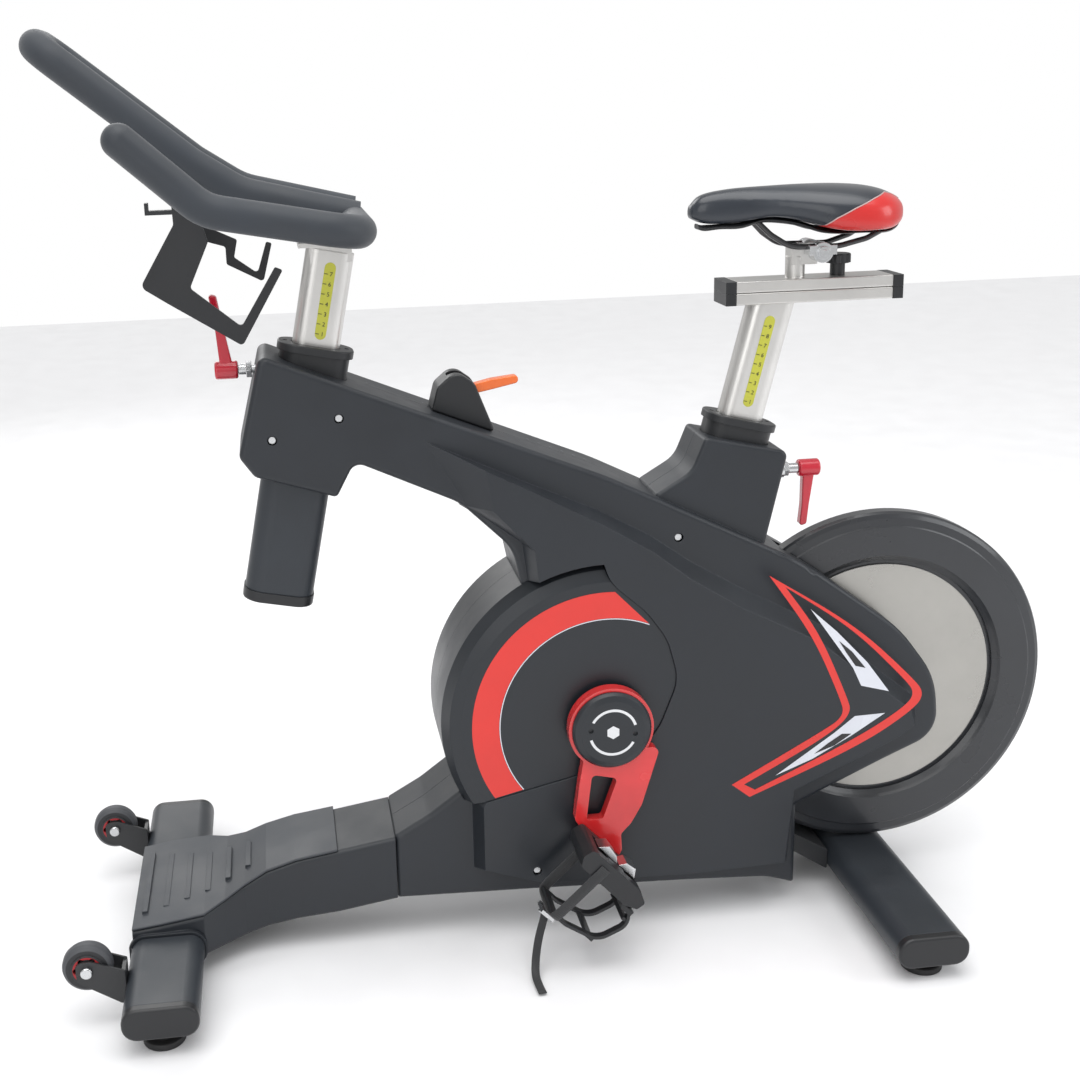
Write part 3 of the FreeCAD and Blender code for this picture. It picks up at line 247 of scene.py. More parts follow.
def make_edges():
    """Softened = the surface's direction rounded over Radius.

    Wear = (1 - Softened . flat direction) x Reach x noise, so it shows at edges only.
    """
    tree, start, end = effect("edge_wear", [("Radius", 0.0012), ("Reach", 6.0)],
                              [("Softened", VECTOR), ("Wear", FLOAT)])
    soft = put(tree, "ShaderNodeBevel", samples=4)
    flat = put(tree, "ShaderNodeNewGeometry")
    dot = put(tree, "ShaderNodeVectorMath", operation="DOT_PRODUCT")
    bend = put(tree, "ShaderNodeMath", {0: 1.0}, operation="SUBTRACT")
    gain = put(tree, "ShaderNodeMath", operation="MULTIPLY")
    where = put(tree, "ShaderNodeTexCoord")
    break_up = put(tree, "ShaderNodeTexNoise", {"Scale": 160.0, "Detail": 4.0})
    patchy = put(tree, "ShaderNodeMath", operation="MULTIPLY", use_clamp=True)
    join(tree, (start.outputs["Radius"], soft.inputs["Radius"]),
         (soft.outputs["Normal"], dot.inputs[0]), (flat.outputs["Normal"], dot.inputs[1]),
         (dot.outputs["Value"], bend.inputs[1]), (bend.outputs[0], gain.inputs[0]),
         (start.outputs["Reach"], gain.inputs[1]), (gain.outputs[0], patchy.inputs[0]),
         (where.outputs["Object"], break_up.inputs["Vector"]),
         (break_up.outputs["Fac"], patchy.inputs[1]),
         (soft.outputs["Normal"], end.inputs["Softened"]),
         (patchy.outputs[0], end.inputs["Wear"]))
    return tree


def make_dust():
    """Dust = how far the surface faces up x noise x Amount."""
    tree, start, end = effect("settled_dust", [("Amount", 0.2)], [("Dust", FLOAT)])
    flat = put(tree, "ShaderNodeNewGeometry")
    split = put(tree, "ShaderNodeSeparateXYZ")
    up = put(tree, "ShaderNodeMapRange", {"From Min": 0.35, "From Max": 1.0})
    where = put(tree, "ShaderNodeTexCoord")
    noise = put(tree, "ShaderNodeTexNoise", {"Scale": 38.0, "Detail": 8.0,
                                             "Roughness": 0.75})
    times = put(tree, "ShaderNodeMath", operation="MULTIPLY")
    scaled = put(tree, "ShaderNodeMath", operation="MULTIPLY", use_clamp=True)
    join(tree, (flat.outputs["Normal"], split.inputs[0]),
         (split.outputs["Z"], up.inputs["Value"]), (up.outputs["Result"], times.inputs[0]),
         (where.outputs["Object"], noise.inputs["Vector"]),
         (noise.outputs["Fac"], times.inputs[1]), (times.outputs[0], scaled.inputs[0]),
         (start.outputs["Amount"], scaled.inputs[1]), (scaled.outputs[0], end.inputs["Dust"]))
    return tree


def make_brushing():
    """Lines = noise squeezed hard along one direction, so it reads as fine strokes."""
    tree, start, end = effect("brushed_lines", [("Along X", 1.0), ("Along Y", 1.0),
                                                ("Along Z", 1.0)], [("Lines", FLOAT)])
    where = put(tree, "ShaderNodeTexCoord")
    scale = put(tree, "ShaderNodeCombineXYZ")
    times = put(tree, "ShaderNodeVectorMath", operation="MULTIPLY")
    noise = put(tree, "ShaderNodeTexNoise", {"Scale": 1.0, "Detail": 3.0})
    join(tree, (start.outputs["Along X"], scale.inputs[0]),
         (start.outputs["Along Y"], scale.inputs[1]),
         (start.outputs["Along Z"], scale.inputs[2]),
         (where.outputs["Object"], times.inputs[0]), (scale.outputs[0], times.inputs[1]),
         (times.outputs[0], noise.inputs["Vector"]),
         (noise.outputs["Fac"], end.inputs["Lines"]))
    return tree


grain, edges, dust, brushing = make_grain(), make_edges(), make_dust(), make_brushing()
print("effects", [g.name for g in (grain, edges, dust, brushing)])

# %% [markdown]
# ## The finishes
# One recipe serves the plastics, paints and metals: a base colour that drifts a little
# between patches, a paler or darker colour at worn edges, dust on level tops, and a
# roughness that follows the patches and the dust. Black parts are never pure black:
# the covers are a charcoal with a little blue in it.

# %% One recipe, many finishes
def shifted(colour, share):
    """The colour made lighter (share above 0) or darker (below 0)."""
    return tuple(min(1.0, c * (1 + share)) for c in colour)


def mixed(tree, mask, under, over):
    """A colour mix: under where the mask is 0, over where it is 1."""
    mix = put(tree, "ShaderNodeMix", data_type="RGBA")
    for socket, value in ((mix.inputs[6], under), (mix.inputs[7], over)):
        if isinstance(value, tuple):
            socket.default_value = (*value, 1.0)
        else:
            tree.links.new(value, socket)
    tree.links.new(mask, mix.inputs[0])
    return mix.outputs[2]


def finish(name, colour, rough, metallic=0.0, coat=0.0, grain_scale=900.0, bump=0.12,
           depth=0.0002, patch=0.12, edge=0.0012, worn=None, wear=4.0, dusty=0.035,
           dust_colour=(0.42, 0.41, 0.39), stroke=None, sheen=0.0):
    """A material from the shared effects; stroke gives brushing scales along X, Y, Z."""
    made = bpy.data.materials.new(name)
    made.use_nodes = True
    tree = made.node_tree
    shader = tree.nodes["Principled BSDF"]
    shader.inputs["Metallic"].default_value = metallic
    shader.inputs["Coat Weight"].default_value = coat
    shader.inputs["Coat Roughness"].default_value = 0.08
    shader.inputs["Sheen Weight"].default_value = sheen
    speckle = put(tree, "ShaderNodeGroup", node_tree=grain)
    speckle.inputs["Scale"].default_value = grain_scale
    worn_edge = put(tree, "ShaderNodeGroup", node_tree=edges)
    worn_edge.inputs["Radius"].default_value = edge
    worn_edge.inputs["Reach"].default_value = wear
    settled = put(tree, "ShaderNodeGroup", node_tree=dust)
    settled.inputs["Amount"].default_value = dusty
    base = mixed(tree, speckle.outputs["Patches"], shifted(colour, -patch),
                 shifted(colour, patch))
    base = mixed(tree, worn_edge.outputs["Wear"], base, worn or shifted(colour, 0.9))
    base = mixed(tree, settled.outputs["Dust"], base, dust_colour)
    join(tree, (base, shader.inputs["Base Color"]))
    height = speckle.outputs["Height"]
    if stroke:
        strokes = put(tree, "ShaderNodeGroup", node_tree=brushing)
        for axis, scale in zip("XYZ", stroke):
            strokes.inputs["Along " + axis].default_value = scale
        height = strokes.outputs["Lines"]
    uneven = put(tree, "ShaderNodeMapRange", {"To Min": rough * 0.85,
                                              "To Max": min(1.0, rough * 1.2)})
    join(tree, (height if stroke else speckle.outputs["Patches"], uneven.inputs["Value"]))
    dulled = put(tree, "ShaderNodeMath", operation="ADD", use_clamp=True)
    join(tree, (uneven.outputs["Result"], dulled.inputs[0]),
         (settled.outputs["Dust"], dulled.inputs[1]),
         (dulled.outputs[0], shader.inputs["Roughness"]))
    relief = put(tree, "ShaderNodeBump", {"Strength": bump, "Distance": depth})
    join(tree, (height, relief.inputs["Height"]),
         (worn_edge.outputs["Softened"], relief.inputs["Normal"]),
         (relief.outputs["Normal"], shader.inputs["Normal"]))
    return made


charcoal = finish("moulded_charcoal", (0.0135, 0.0165, 0.0215), 0.40, bump=0.22,
                  edge=0.0022)
drum_black = finish("drum_charcoal", (0.013, 0.016, 0.0205), 0.36, bump=0.18)
tread_grey = finish("tread_charcoal", (0.036, 0.041, 0.049), 0.46, bump=0.35,
                    grain_scale=600, dusty=0.04)
trim_black = finish("trim_black", (0.012, 0.013, 0.015), 0.38, bump=0.2)
frame_black = finish("frame_black_paint", (0.014, 0.015, 0.017), 0.42, coat=0.2)
slate = finish("slate_powder_coat", (0.022, 0.027, 0.034), 0.42, grain_scale=1400,
               bump=0.25, dusty=0.04, edge=0.002)
grip_skin = finish("grip_dip_coat", (0.026, 0.032, 0.041), 0.58, grain_scale=1900,
                   bump=0.35, dusty=0.04, sheen=0.15)
post_silver = finish("post_brushed_silver", (0.66, 0.65, 0.63), 0.30, metallic=0.9,
                     stroke=(1400, 1400, 18), bump=0.10, worn=(0.8, 0.8, 0.78),
                     dusty=0.04, patch=0.05)
slide_silver = finish("slide_brushed_silver", (0.62, 0.61, 0.59), 0.33, metallic=0.9,
                      stroke=(16, 1500, 1500), bump=0.12, worn=(0.8, 0.8, 0.78),
                      dusty=0.04, patch=0.05)
zinc = finish("bright_zinc", (0.60, 0.61, 0.62), 0.24, metallic=1.0, grain_scale=700,
              bump=0.10, worn=(0.85, 0.85, 0.86), dusty=0.03)
rail_black = finish("rail_black_enamel", (0.015, 0.015, 0.017), 0.22, coat=0.5)
wheel_black = finish("flywheel_enamel", (0.020, 0.022, 0.026), 0.30, coat=0.25,
                     grain_scale=500, bump=0.10, dusty=0.04)
crank_paint = finish("crank_red_enamel", (0.62, 0.020, 0.022), 0.24, coat=0.7,
                     grain_scale=260, bump=0.05, worn=(0.75, 0.12, 0.10), dusty=0.05)
lever_red = finish("lever_red_gloss", (0.50, 0.012, 0.030), 0.22, coat=0.5,
                   worn=(0.65, 0.10, 0.12), bump=0.08, dusty=0.04)
lever_orange = finish("brake_lever_orange", (0.83, 0.155, 0.020), 0.26, coat=0.4,
                      worn=(0.9, 0.35, 0.12), bump=0.08, dusty=0.04)
foot_black = finish("foot_rubber", (0.013, 0.013, 0.014), 0.62, bump=0.4,
                    grain_scale=700, dusty=0.04)
belt_black = finish("belt_rubber", (0.012, 0.012, 0.013), 0.6, bump=0.4)
print("finishes", len(bpy.data.materials))

# %% [markdown]
# ## Two finishes that need their own pattern
# The flywheel's side disc is spun stainless steel: its lines run round the axle, so
# they are noise on the distance from it. The small transport wheels are one moulding
# in CAD; a distance from their axle tells the tread, the red ring and the hub apart.

# %% Spun steel and the transport wheels
def distance_from(tree, x, z):
    """Metres from the axle through (x, z) that runs along Y."""
    where = put(tree, "ShaderNodeTexCoord")
    shift = put(tree, "ShaderNodeVectorMath", {1: (x, 0.0, z)}, operation="SUBTRACT")
    flat = put(tree, "ShaderNodeVectorMath", {1: (1.0, 0.0, 1.0)}, operation="MULTIPLY")
    length = put(tree, "ShaderNodeVectorMath", operation="LENGTH")
    join(tree, (where.outputs["Object"], shift.inputs[0]),
         (shift.outputs[0], flat.inputs[0]), (flat.outputs[0], length.inputs[0]))
    return length.outputs["Value"]


def steps(tree, value, stops):
    """A colour that changes sharply at each (distance, colour) stop, over 100 mm."""
    scale = put(tree, "ShaderNodeMath", {1: 10.0}, operation="MULTIPLY")
    ramp = put(tree, "ShaderNodeValToRGB")
    ramp.color_ramp.interpolation = "CONSTANT"
    while len(ramp.color_ramp.elements) < len(stops):
        ramp.color_ramp.elements.new(0.5)
    for element, (at, colour) in zip(ramp.color_ramp.elements, stops):
        element.position = at * 10.0
        element.color = (*colour, 1.0)
    join(tree, (value, scale.inputs[0]), (scale.outputs[0], ramp.inputs["Fac"]))
    return ramp.outputs["Color"]


axle = (np.array(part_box("flywheel")[0]) + np.array(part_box("flywheel")[1])) / 2
spun_steel = finish("spun_steel", (0.40, 0.39, 0.365), 0.30, metallic=0.85,
                    worn=(0.7, 0.7, 0.69), dusty=0.02, patch=0.06)
tree = spun_steel.node_tree
rings = put(tree, "ShaderNodeMath", {1: 620.0}, operation="MULTIPLY")
lines = put(tree, "ShaderNodeTexNoise", {"Scale": 1.0, "Detail": 2.0},
            noise_dimensions="1D")
relief = next(n for n in tree.nodes if n.type == "BUMP")
relief.inputs["Strength"].default_value = 0.06
join(tree, (distance_from(tree, float(axle[0]), float(axle[2])), rings.inputs[0]),
     (rings.outputs[0], lines.inputs["W"]),
     (lines.outputs["Fac"], relief.inputs["Height"]))

small_axle = (np.array(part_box("transport_wheel_left")[0])
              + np.array(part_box("transport_wheel_left")[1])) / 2
castor = finish("transport_wheel", (0.03, 0.03, 0.033), 0.5, bump=0.3, grain_scale=500,
                dusty=0.04)
tree = castor.node_tree
shader = tree.nodes["Principled BSDF"]
tread = steps(tree, distance_from(tree, float(small_axle[0]), float(small_axle[2])),
              [(0.0, (0.20, 0.20, 0.21)), (0.0085, (0.020, 0.020, 0.022)),
               (0.0145, (0.36, 0.015, 0.02)), (0.0175, (0.022, 0.023, 0.026)),
               (0.0255, (0.060, 0.063, 0.070))])
join(tree, (tread, shader.inputs["Base Color"]))
print("axle of the flywheel", axle.round(3))

# %% [markdown]
# ## Dressing the CAD parts
# A CAD part keeps its shape and place and only its material changes, so this cell is
# a plain list of which parts share which finish.

# %% Which part gets which finish
dressed = {
    charcoal: ["shroud_left", "shroud_right", "base_cover_front", "base_cover_rear"],
    drum_black: ["belt_cover_left", "belt_cover_right", "crank_caps"],
    tread_grey: ["tread_plate"],
    trim_black: ["head_sleeve_plug", "post_collars", "stabilizer_caps",
                 "resistance_housing", "accessory_holder", "slide_caps_lower",
                 "slide_caps_upper", "slide_knob", "drive_pulley", "saddle_base",
                 "pedal_body_left", "pedal_body_right", "pedal_cage_left",
                 "pedal_cage_right", "toe_strap_left", "toe_strap_right"],
    frame_black: ["frame_weldment", "wheel_brackets", "magnet_carrier"],
    slate: ["stabilizer_front", "stabilizer_rear", "head_sleeve"],
    grip_skin: ["handlebar", "saddle_pad"],
    post_silver: ["handlebar_post", "seat_post"],
    slide_silver: ["slide_lower", "slide_upper"],
    zinc: ["cover_screws", "bearings", "flywheel_axle", "clamp_studs", "wheel_bolts",
           "crank_spindle", "pedal_spindles", "flywheel_pulley", "saddle_clamp"],
    rail_black: ["saddle_rails"],
    spun_steel: ["flywheel_discs"],
    wheel_black: ["flywheel"],
    crank_paint: ["crank_left", "crank_right"],
    lever_red: ["front_lever", "rear_lever"],
    lever_orange: ["brake_lever"],
    foot_black: ["foot_front_left", "foot_front_right", "foot_rear_left",
                 "foot_rear_right"],
    castor: ["transport_wheel_left", "transport_wheel_right"],
    belt_black: ["drive_belt"],
}
for coat, names in dressed.items():
    for part in names:
        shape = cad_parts[part].data
        shape.materials.clear()
        shape.materials.append(coat)
missed = set(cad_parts) - {n for names in dressed.values() for n in names}
print("parts without a finish:", sorted(missed))

# %% [markdown]
# ## Stickers on the covers
# The covers carry thin vinyl: a red band on the round belt cover, and a long red
# outline with pale darts inside it on the tail. Real ones are cut from printed film.
# A painted pattern would need a picture, so each is a flat sheet, 0.3 mm proud of what
# it lies on and with no lettering.

# %% Vinyl finishes
def vinyl(name, colour, rough=0.32):
    """Printed film: a nearly smooth finish with no edge wear."""
    return finish(name, colour, rough, grain_scale=2400, bump=0.04, patch=0.04,
                  edge=0.0002, wear=0.0, dusty=0.03, coat=0.15)


red_vinyl = vinyl("vinyl_red", (0.68, 0.030, 0.022))
black_vinyl = vinyl("vinyl_black", (0.010, 0.011, 0.013))
pale_vinyl = vinyl("vinyl_silver_white", (0.66, 0.68, 0.74), 0.28)
grey_vinyl = vinyl("vinyl_grey", (0.10, 0.11, 0.125))
drum_face = float(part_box("belt_cover_left")[0][1])
tail_face = float(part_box("shroud_left")[0][1])
vinyl_thick = 0.0003


def on_side(flat, side, face):
    """Flat (x, z) points in millimetres set just outside a side face at y = face.

    side is -1 for the rider's left and 1 for the right, where the face is mirrored.
    """
    flat = np.asarray(flat, float) / 1000.0
    y = np.full(len(flat), side * (abs(face) + vinyl_thick))
    return np.stack([flat[:, 0], y, flat[:, 1]], 1)


def sticker(name, outline, side, face, coat, body="frame"):
    """A flat sheet with this outline, split into triangles, facing outwards."""
    points = on_side(outline, side, face)
    made = piece(name, points, [range(len(points))], coat, None, False)
    work = bmesh.new()
    work.from_mesh(made.data)
    bmesh.ops.triangulate(work, faces=work.faces)
    work.normal_update()
    wrong = [f for f in work.faces if f.normal.y * side < 0]
    bmesh.ops.reverse_faces(work, faces=wrong)
    work.to_mesh(made.data)
    work.free()
    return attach(made, body)


def strip(name, outer, inner, side, face, coat, body="frame", closed=False):
    """A ribbon between two lines of equal length, such as an outline's two edges."""
    n = len(outer)
    points = np.vstack([on_side(outer, side, face), on_side(inner, side, face)])
    i = np.arange(n if closed else n - 1)
    j = (i + 1) % n
    quads = np.stack([i, j, n + j, n + i], 1)
    a, b, c = points[quads[0, 0]], points[quads[0, 1]], points[quads[0, 2]]
    if np.cross(b - a, c - b)[1] * side < 0:
        quads = quads[:, ::-1]
    return piece(name, points, quads, coat, body, False)


# %% The red band on the belt covers
hub = np.array([32.0, 304.0])    # the crank axle's (x, z) in millimetres
band_in, band_out = 143, 178.5
both_sides = ((-1, "left"), (1, "right"))


def arc(r, start, stop, count=72):
    """Points at radius r round the crank axle, angles in degrees from +X."""
    a = np.radians(np.linspace(start, stop, count))
    return hub + r * np.stack([np.cos(a), np.sin(a)], 1)


for side, tag in both_sides:
    strip("drum_band_" + tag, arc(band_out, 212.5, 86.5), arc(band_in, 217.5, 67.0), side,
          drum_face, red_vinyl)
    strip("drum_band_edge_" + tag, arc(142.6, 217.6, 66.8), arc(141.4, 217.8, 66.6),
          side, drum_face, pale_vinyl)
print("drum band from radius %g to %g mm" % (band_in, band_out))

# %% The outline and darts on the tail
def ribbon_line(front, back):
    """One edge of the red outline: two curved runs that meet in sharp tips."""
    return np.vstack([eased(front, 3), eased(back, 3)[:-1]])


# (x, z) in millimetres: from the top tip round the tail's rear point to the low tip,
# then back up along the inner side.
outer_line = ribbon_line(
    [(246, 490), (364, 414), (446, 334), (466, 308), (447, 284), (376, 240), (226, 179)],
    [(201, 199), (319, 263), (355, 285), (347, 313), (306, 405), (246, 490)])
inner_line = ribbon_line(
    [(268, 473), (360, 410), (436, 332), (452, 310), (436, 290), (369, 250), (233, 189)],
    [(218, 198), (326, 255), (365, 287), (356, 315), (315, 408), (268, 473)])
darts = {
    "upper": [(303, 440), (340, 406), (383, 360), (415, 316), (376, 327), (364, 353)],
    "lower": [(261, 207), (341, 262), (369, 284), (411, 285), (365, 256), (312, 227)],
}
slots = {
    "upper": [(343, 393), (361, 377), (381, 352), (367, 356), (354, 375)],
    "lower": [(314, 234), (333, 248), (352, 260), (365, 259), (342, 244)],
}
for side, tag in both_sides:
    strip("tail_outline_" + tag, outer_line, inner_line, side, tail_face, red_vinyl,
          closed=True)
    for level in darts:
        sticker("tail_dart_%s_%s" % (level, tag), darts[level], side, tail_face,
                pale_vinyl)
        sticker("tail_slot_%s_%s" % (level, tag), slots[level], side,
                abs(tail_face) + vinyl_thick, black_vinyl)

# %% [markdown]
# ## The saddle
# A real saddle is a plastic shell with foam on it and a coated cover pulled tight
# over the foam. Its shape is a row of cross-sections from the nose to the tail, each
# with a half width, a bottom, a top and a hollow underneath. The cover is then blown
# up a little as cloth, with its underside held, so the foam looks full where the
# cover is free and tight where it is fixed.

# %% Cross-sections of the saddle
stations = np.array([
    # x, half width, bottom, top, hollow underneath (all in millimetres)
    (163, 13, 941, 963, 1), (170, 18, 936, 972, 2), (185, 22, 932, 977, 3),
    (210, 25, 931, 980, 5), (232, 28, 932, 981, 6), (257, 34, 937, 981, 6),
    (280, 42, 934, 981.5, 7), (300, 51, 928, 982, 9), (322, 62, 918, 982, 12),
    (345, 70, 911, 982, 16), (365, 74, 909, 981, 18), (385, 74, 910, 979.5, 17),
    (400, 69, 912, 976.5, 14), (412, 60, 916, 972, 10), (422, 48, 922, 967, 6),
    (430, 34, 929, 961, 3), (435, 20, 935, 956, 1)], float)
soft_line = eased(stations, 3)
widest_at = 0.42    # share of the height at which each cross-section is widest
nose_round, tail_round = 4, 3    # how far the two closed ends bulge, in millimetres
shell_gap = 0.3    # millimetres between the cover's underside and the given bottom
skin_inset = 2.0    # millimetres left for the cover to swell into


def station_at(x):
    """Half width, bottom, top and hollow at each x, read off the eased stations."""
    return [np.interp(x, soft_line[:, 0], soft_line[:, k]) for k in (1, 2, 3, 4)]


def saddle_grid(rows, cols, inset):
    """Rings of points: each ring is a flattened oval pulled in by inset.

    y = half width x cos t to the power 0.75, z = middle + rise x sin t to the power
    0.8, and the underside is lifted in the middle by its hollow. The ends close with
    a quarter ellipse.
    """
    turn = np.linspace(0, np.pi / 2, 6)[1:]
    x = np.linspace(stations[0, 0], stations[-1, 0], rows)
    nose = x[0] - nose_round * np.sin(turn)
    tail = x[-1] + tail_round * np.sin(turn)
    ends = np.cos(turn) * 0.999 + 0.001
    x_all = np.concatenate([nose[::-1], x, tail])
    shrink = np.concatenate([ends[::-1], np.ones(rows), ends])
    half, low, high, hollow = station_at(np.clip(x_all, x[0], x[-1]))
    middle = low + widest_at * (high - low)
    t = np.linspace(0, 2 * np.pi, cols, endpoint=False)
    c, s = np.cos(t)[None], np.sin(t)[None]
    flat = np.sign(c) * np.abs(c) ** 0.75
    tall = np.sign(s) * np.abs(s) ** 0.80
    up, down = (high - inset - middle)[:, None], (middle - low - shell_gap)[:, None]
    k = shrink[:, None]
    y = (half - inset)[:, None] * flat * k
    z = middle[:, None] + np.where(s > 0, up, down) * tall * k
    z = z + np.where(s < 0, hollow[:, None] * (1 - flat ** 2) * k, 0.0)
    return np.stack([np.broadcast_to(x_all[:, None], y.shape), y, z], 2) / 1000.0


rings = saddle_grid(74, 56, skin_inset)
row_count, col_count = rings.shape[:2]
skin_faces = grid_faces(row_count, col_count, False, True).tolist()
skin_faces += [list(range(col_count)),
               list(range((row_count - 1) * col_count, row_count * col_count))]
print("saddle rings", rings.shape)

# %% Leatherette in two colours
saddle_skin = finish("saddle_leatherette", (0.017, 0.022, 0.031), 0.30,
                     grain_scale=620, bump=0.22, coat=0.25, dusty=0.05)
skin_tree = saddle_skin.node_tree
skin_shader = skin_tree.nodes["Principled BSDF"]
panel = put(skin_tree, "ShaderNodeAttribute", attribute_name="panel")
inside = put(skin_tree, "ShaderNodeMath", {1: 0.0}, operation="GREATER_THAN")
join(skin_tree, (panel.outputs["Fac"], inside.inputs[0]))
dark_skin = skin_shader.inputs["Base Color"].links[0].from_socket
red_skin = (0.56, 0.020, 0.018)
join(skin_tree, (mixed(skin_tree, inside.outputs[0], dark_skin, red_skin),
            skin_shader.inputs["Base Color"]))
piping_skin = finish("saddle_piping", (0.50, 0.36, 0.35), 0.42, bump=0.1)

# %% Swell the cover
saddle = piece("saddle_cover", rings, skin_faces, saddle_skin, None, closed=True)
cloth_frames = 20


def swollen(made, held, pressure, most):
    """Blow a closed piece up as cloth; held points stay, others move up to most metres.

    Cloth works over time, so the scene steps through its frames and the last
    frame's points are copied back into the mesh.
    """
    mesh = made.data
    count = len(mesh.vertices)
    before = np.empty(count * 3)
    mesh.vertices.foreach_get("co", before)
    before = before.reshape(-1, 3)
    group = made.vertex_groups.new(name="held")
    group.add([int(i) for i in np.flatnonzero(held(before))], 1.0, "REPLACE")
    cloth = made.modifiers.new("cover", "CLOTH")
    cloth.settings.quality = 6
    cloth.settings.use_pressure = True
    cloth.settings.uniform_pressure_force = pressure
    cloth.settings.effector_weights.gravity = 0.0
    cloth.settings.vertex_group_mass = "held"
    cloth.point_cache.frame_start, cloth.point_cache.frame_end = 1, cloth_frames
    scene = bpy.context.scene
    for frame_number in range(1, cloth_frames + 1):
        scene.frame_set(frame_number)
    blown = made.evaluated_get(bpy.context.evaluated_depsgraph_get()).data
    after = np.empty(count * 3)
    blown.vertices.foreach_get("co", after)
    moved = after.reshape(-1, 3) - before
    far = np.linalg.norm(moved, axis=1, keepdims=True)
    moved *= np.minimum(1.0, most / np.maximum(far, 1e-9))
    made.modifiers.remove(cloth)
    mesh.vertices.foreach_set("co", (before + moved).ravel())
    mesh.update()
    scene.frame_set(1)
    print("cover moved by up to %.1f mm" % (far.max() * 1000))


def underside(p):
    """Points under the widest line of their own cross-section, which the shell holds."""
    _, low, high, _ = station_at(p[:, 0] * 1000)
    return p[:, 2] * 1000 < low + widest_at * (high - low)


swollen(saddle, underside, pressure=4.0, most=0.005)

# %% Mark the red side panel and lay its piping
seam_x = np.array([280, 306, 330, 352, 378, 398, 412, 422, 430, 440], float)
seam_z = np.array([885, 922, 941, 953, 964, 970, 967, 962, 956, 950], float)
mesh = saddle.data
points = np.empty(len(mesh.vertices) * 3)
mesh.vertices.foreach_get("co", points)
points = points.reshape(-1, 3)
seam_at = np.interp(points[:, 0] * 1000, seam_x, seam_z) / 1000
attribute = mesh.attributes.new("panel", "FLOAT", "POINT")
attribute.data.foreach_set("value", (seam_at - points[:, 2]).astype(np.float32))
rounder = saddle.modifiers.new("rounder", "SUBSURF")
rounder.levels = rounder.render_levels = 1
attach(saddle, "saddle")
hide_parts("saddle_pad")

cover = BVHTree.FromPolygons([tuple(p) for p in points],
                             [tuple(f.vertices) for f in mesh.polygons])
for side, tag in both_sides:
    line = []
    for x in np.linspace(0.309, 0.424, 44):
        z = float(np.interp(x * 1000, seam_x, seam_z)) / 1000
        hit = cover.ray_cast(Vector((x, side * 0.3, z)), Vector((0, -side, 0)))[0]
        if hit is not None:
            line.append(tuple(hit))
    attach(rod("saddle_piping_" + tag, eased(line, 1), round_section(0.0008, 10),
                (0, 0, 1), piping_skin, None), "saddle")

# %% [markdown]
# ## Toe straps
# Each pedal's cage is closed by a nylon strap that goes under the slab, through a
# sprung buckle and hangs down to the floor. Webbing is flat and bends only across its
# width, so it is a thin band carried along a path. Its weave is fine slanted ribs.

# %% Webbing and the strap's own place
webbing = finish("strap_webbing", (0.016, 0.017, 0.019), 0.62, bump=0.5, depth=0.0004,
                 grain_scale=1500, dusty=0.04, sheen=0.2)
weave_tree = webbing.node_tree
ribs = put(weave_tree, "ShaderNodeTexWave", {"Scale": 190.0, "Distortion": 0.3},
           bands_direction="DIAGONAL")
where = put(weave_tree, "ShaderNodeTexCoord")
relief = next(n for n in weave_tree.nodes if n.type == "BUMP")
join(weave_tree, (where.outputs["Object"], ribs.inputs["Vector"]),
     (ribs.outputs["Fac"], relief.inputs["Height"]))
crank_length = 170.0
crank_hang = math.radians(6.0)    # how far the left crank stands from straight down
pedal_lean = math.radians(47.0)
down_crank = crank_length * np.array([-math.sin(crank_hang), -math.cos(crank_hang)])
left_axle = hub + down_crank
to_right_pedal = np.array([-2 * down_crank[0], 0, -2 * down_crank[1]])
pedals = ((False, "left", "pedal_l"), (True, "right", "pedal_r"))
print("left pedal's axle at x, z", left_axle.round(1), "mm")


def from_pedal(local, right):
    """Points (along the slab, y, above it) in millimetres to metres on a pedal.

    The pedal leans by pedal_lean about its axle; the right one is the left mirrored
    and moved to the other crank's end.
    """
    p = np.asarray(local, float)
    x = left_axle[0] + p[:, 0] * math.cos(pedal_lean) + p[:, 2] * math.sin(pedal_lean)
    z = left_axle[1] - p[:, 0] * math.sin(pedal_lean) + p[:, 2] * math.cos(pedal_lean)
    out = np.stack([x, p[:, 1], z], 1)
    if right:
        out = out * (1, -1, 1) + to_right_pedal
    return out / 1000.0


inner_y, outer_y = -113.5, -190.8
strap_x = -17
tail_end_z = 4.4
# How far the loose tail has swung in x and y, and what share of its fall it has done.
tail_sway = np.array([(0, 0), (-3, -1), (-10, -4), (-14, -7), (-17, -13), (-19, -24),
                      (-18, -40), (-16, -60)], float)
tail_fall = np.array([0.12, 0.40, 0.64, 0.84, 0.97, 1.0, 1.0])
loop_band = band_section(0.014, 0.0019)    # width and thickness in metres
tail_band = band_section(0.0105, 0.0018)
box_faces = [(0, 1, 3, 2), (4, 6, 7, 5), (0, 4, 5, 1), (2, 3, 7, 6), (0, 2, 6, 4),
             (1, 5, 7, 3)]


def box_corners(low, high):
    """The eight corners of a box; x changes slowest and z fastest."""
    return [(x, y, z) for x in (low[0], high[0]) for y in (low[1], high[1])
            for z in (low[2], high[2])]


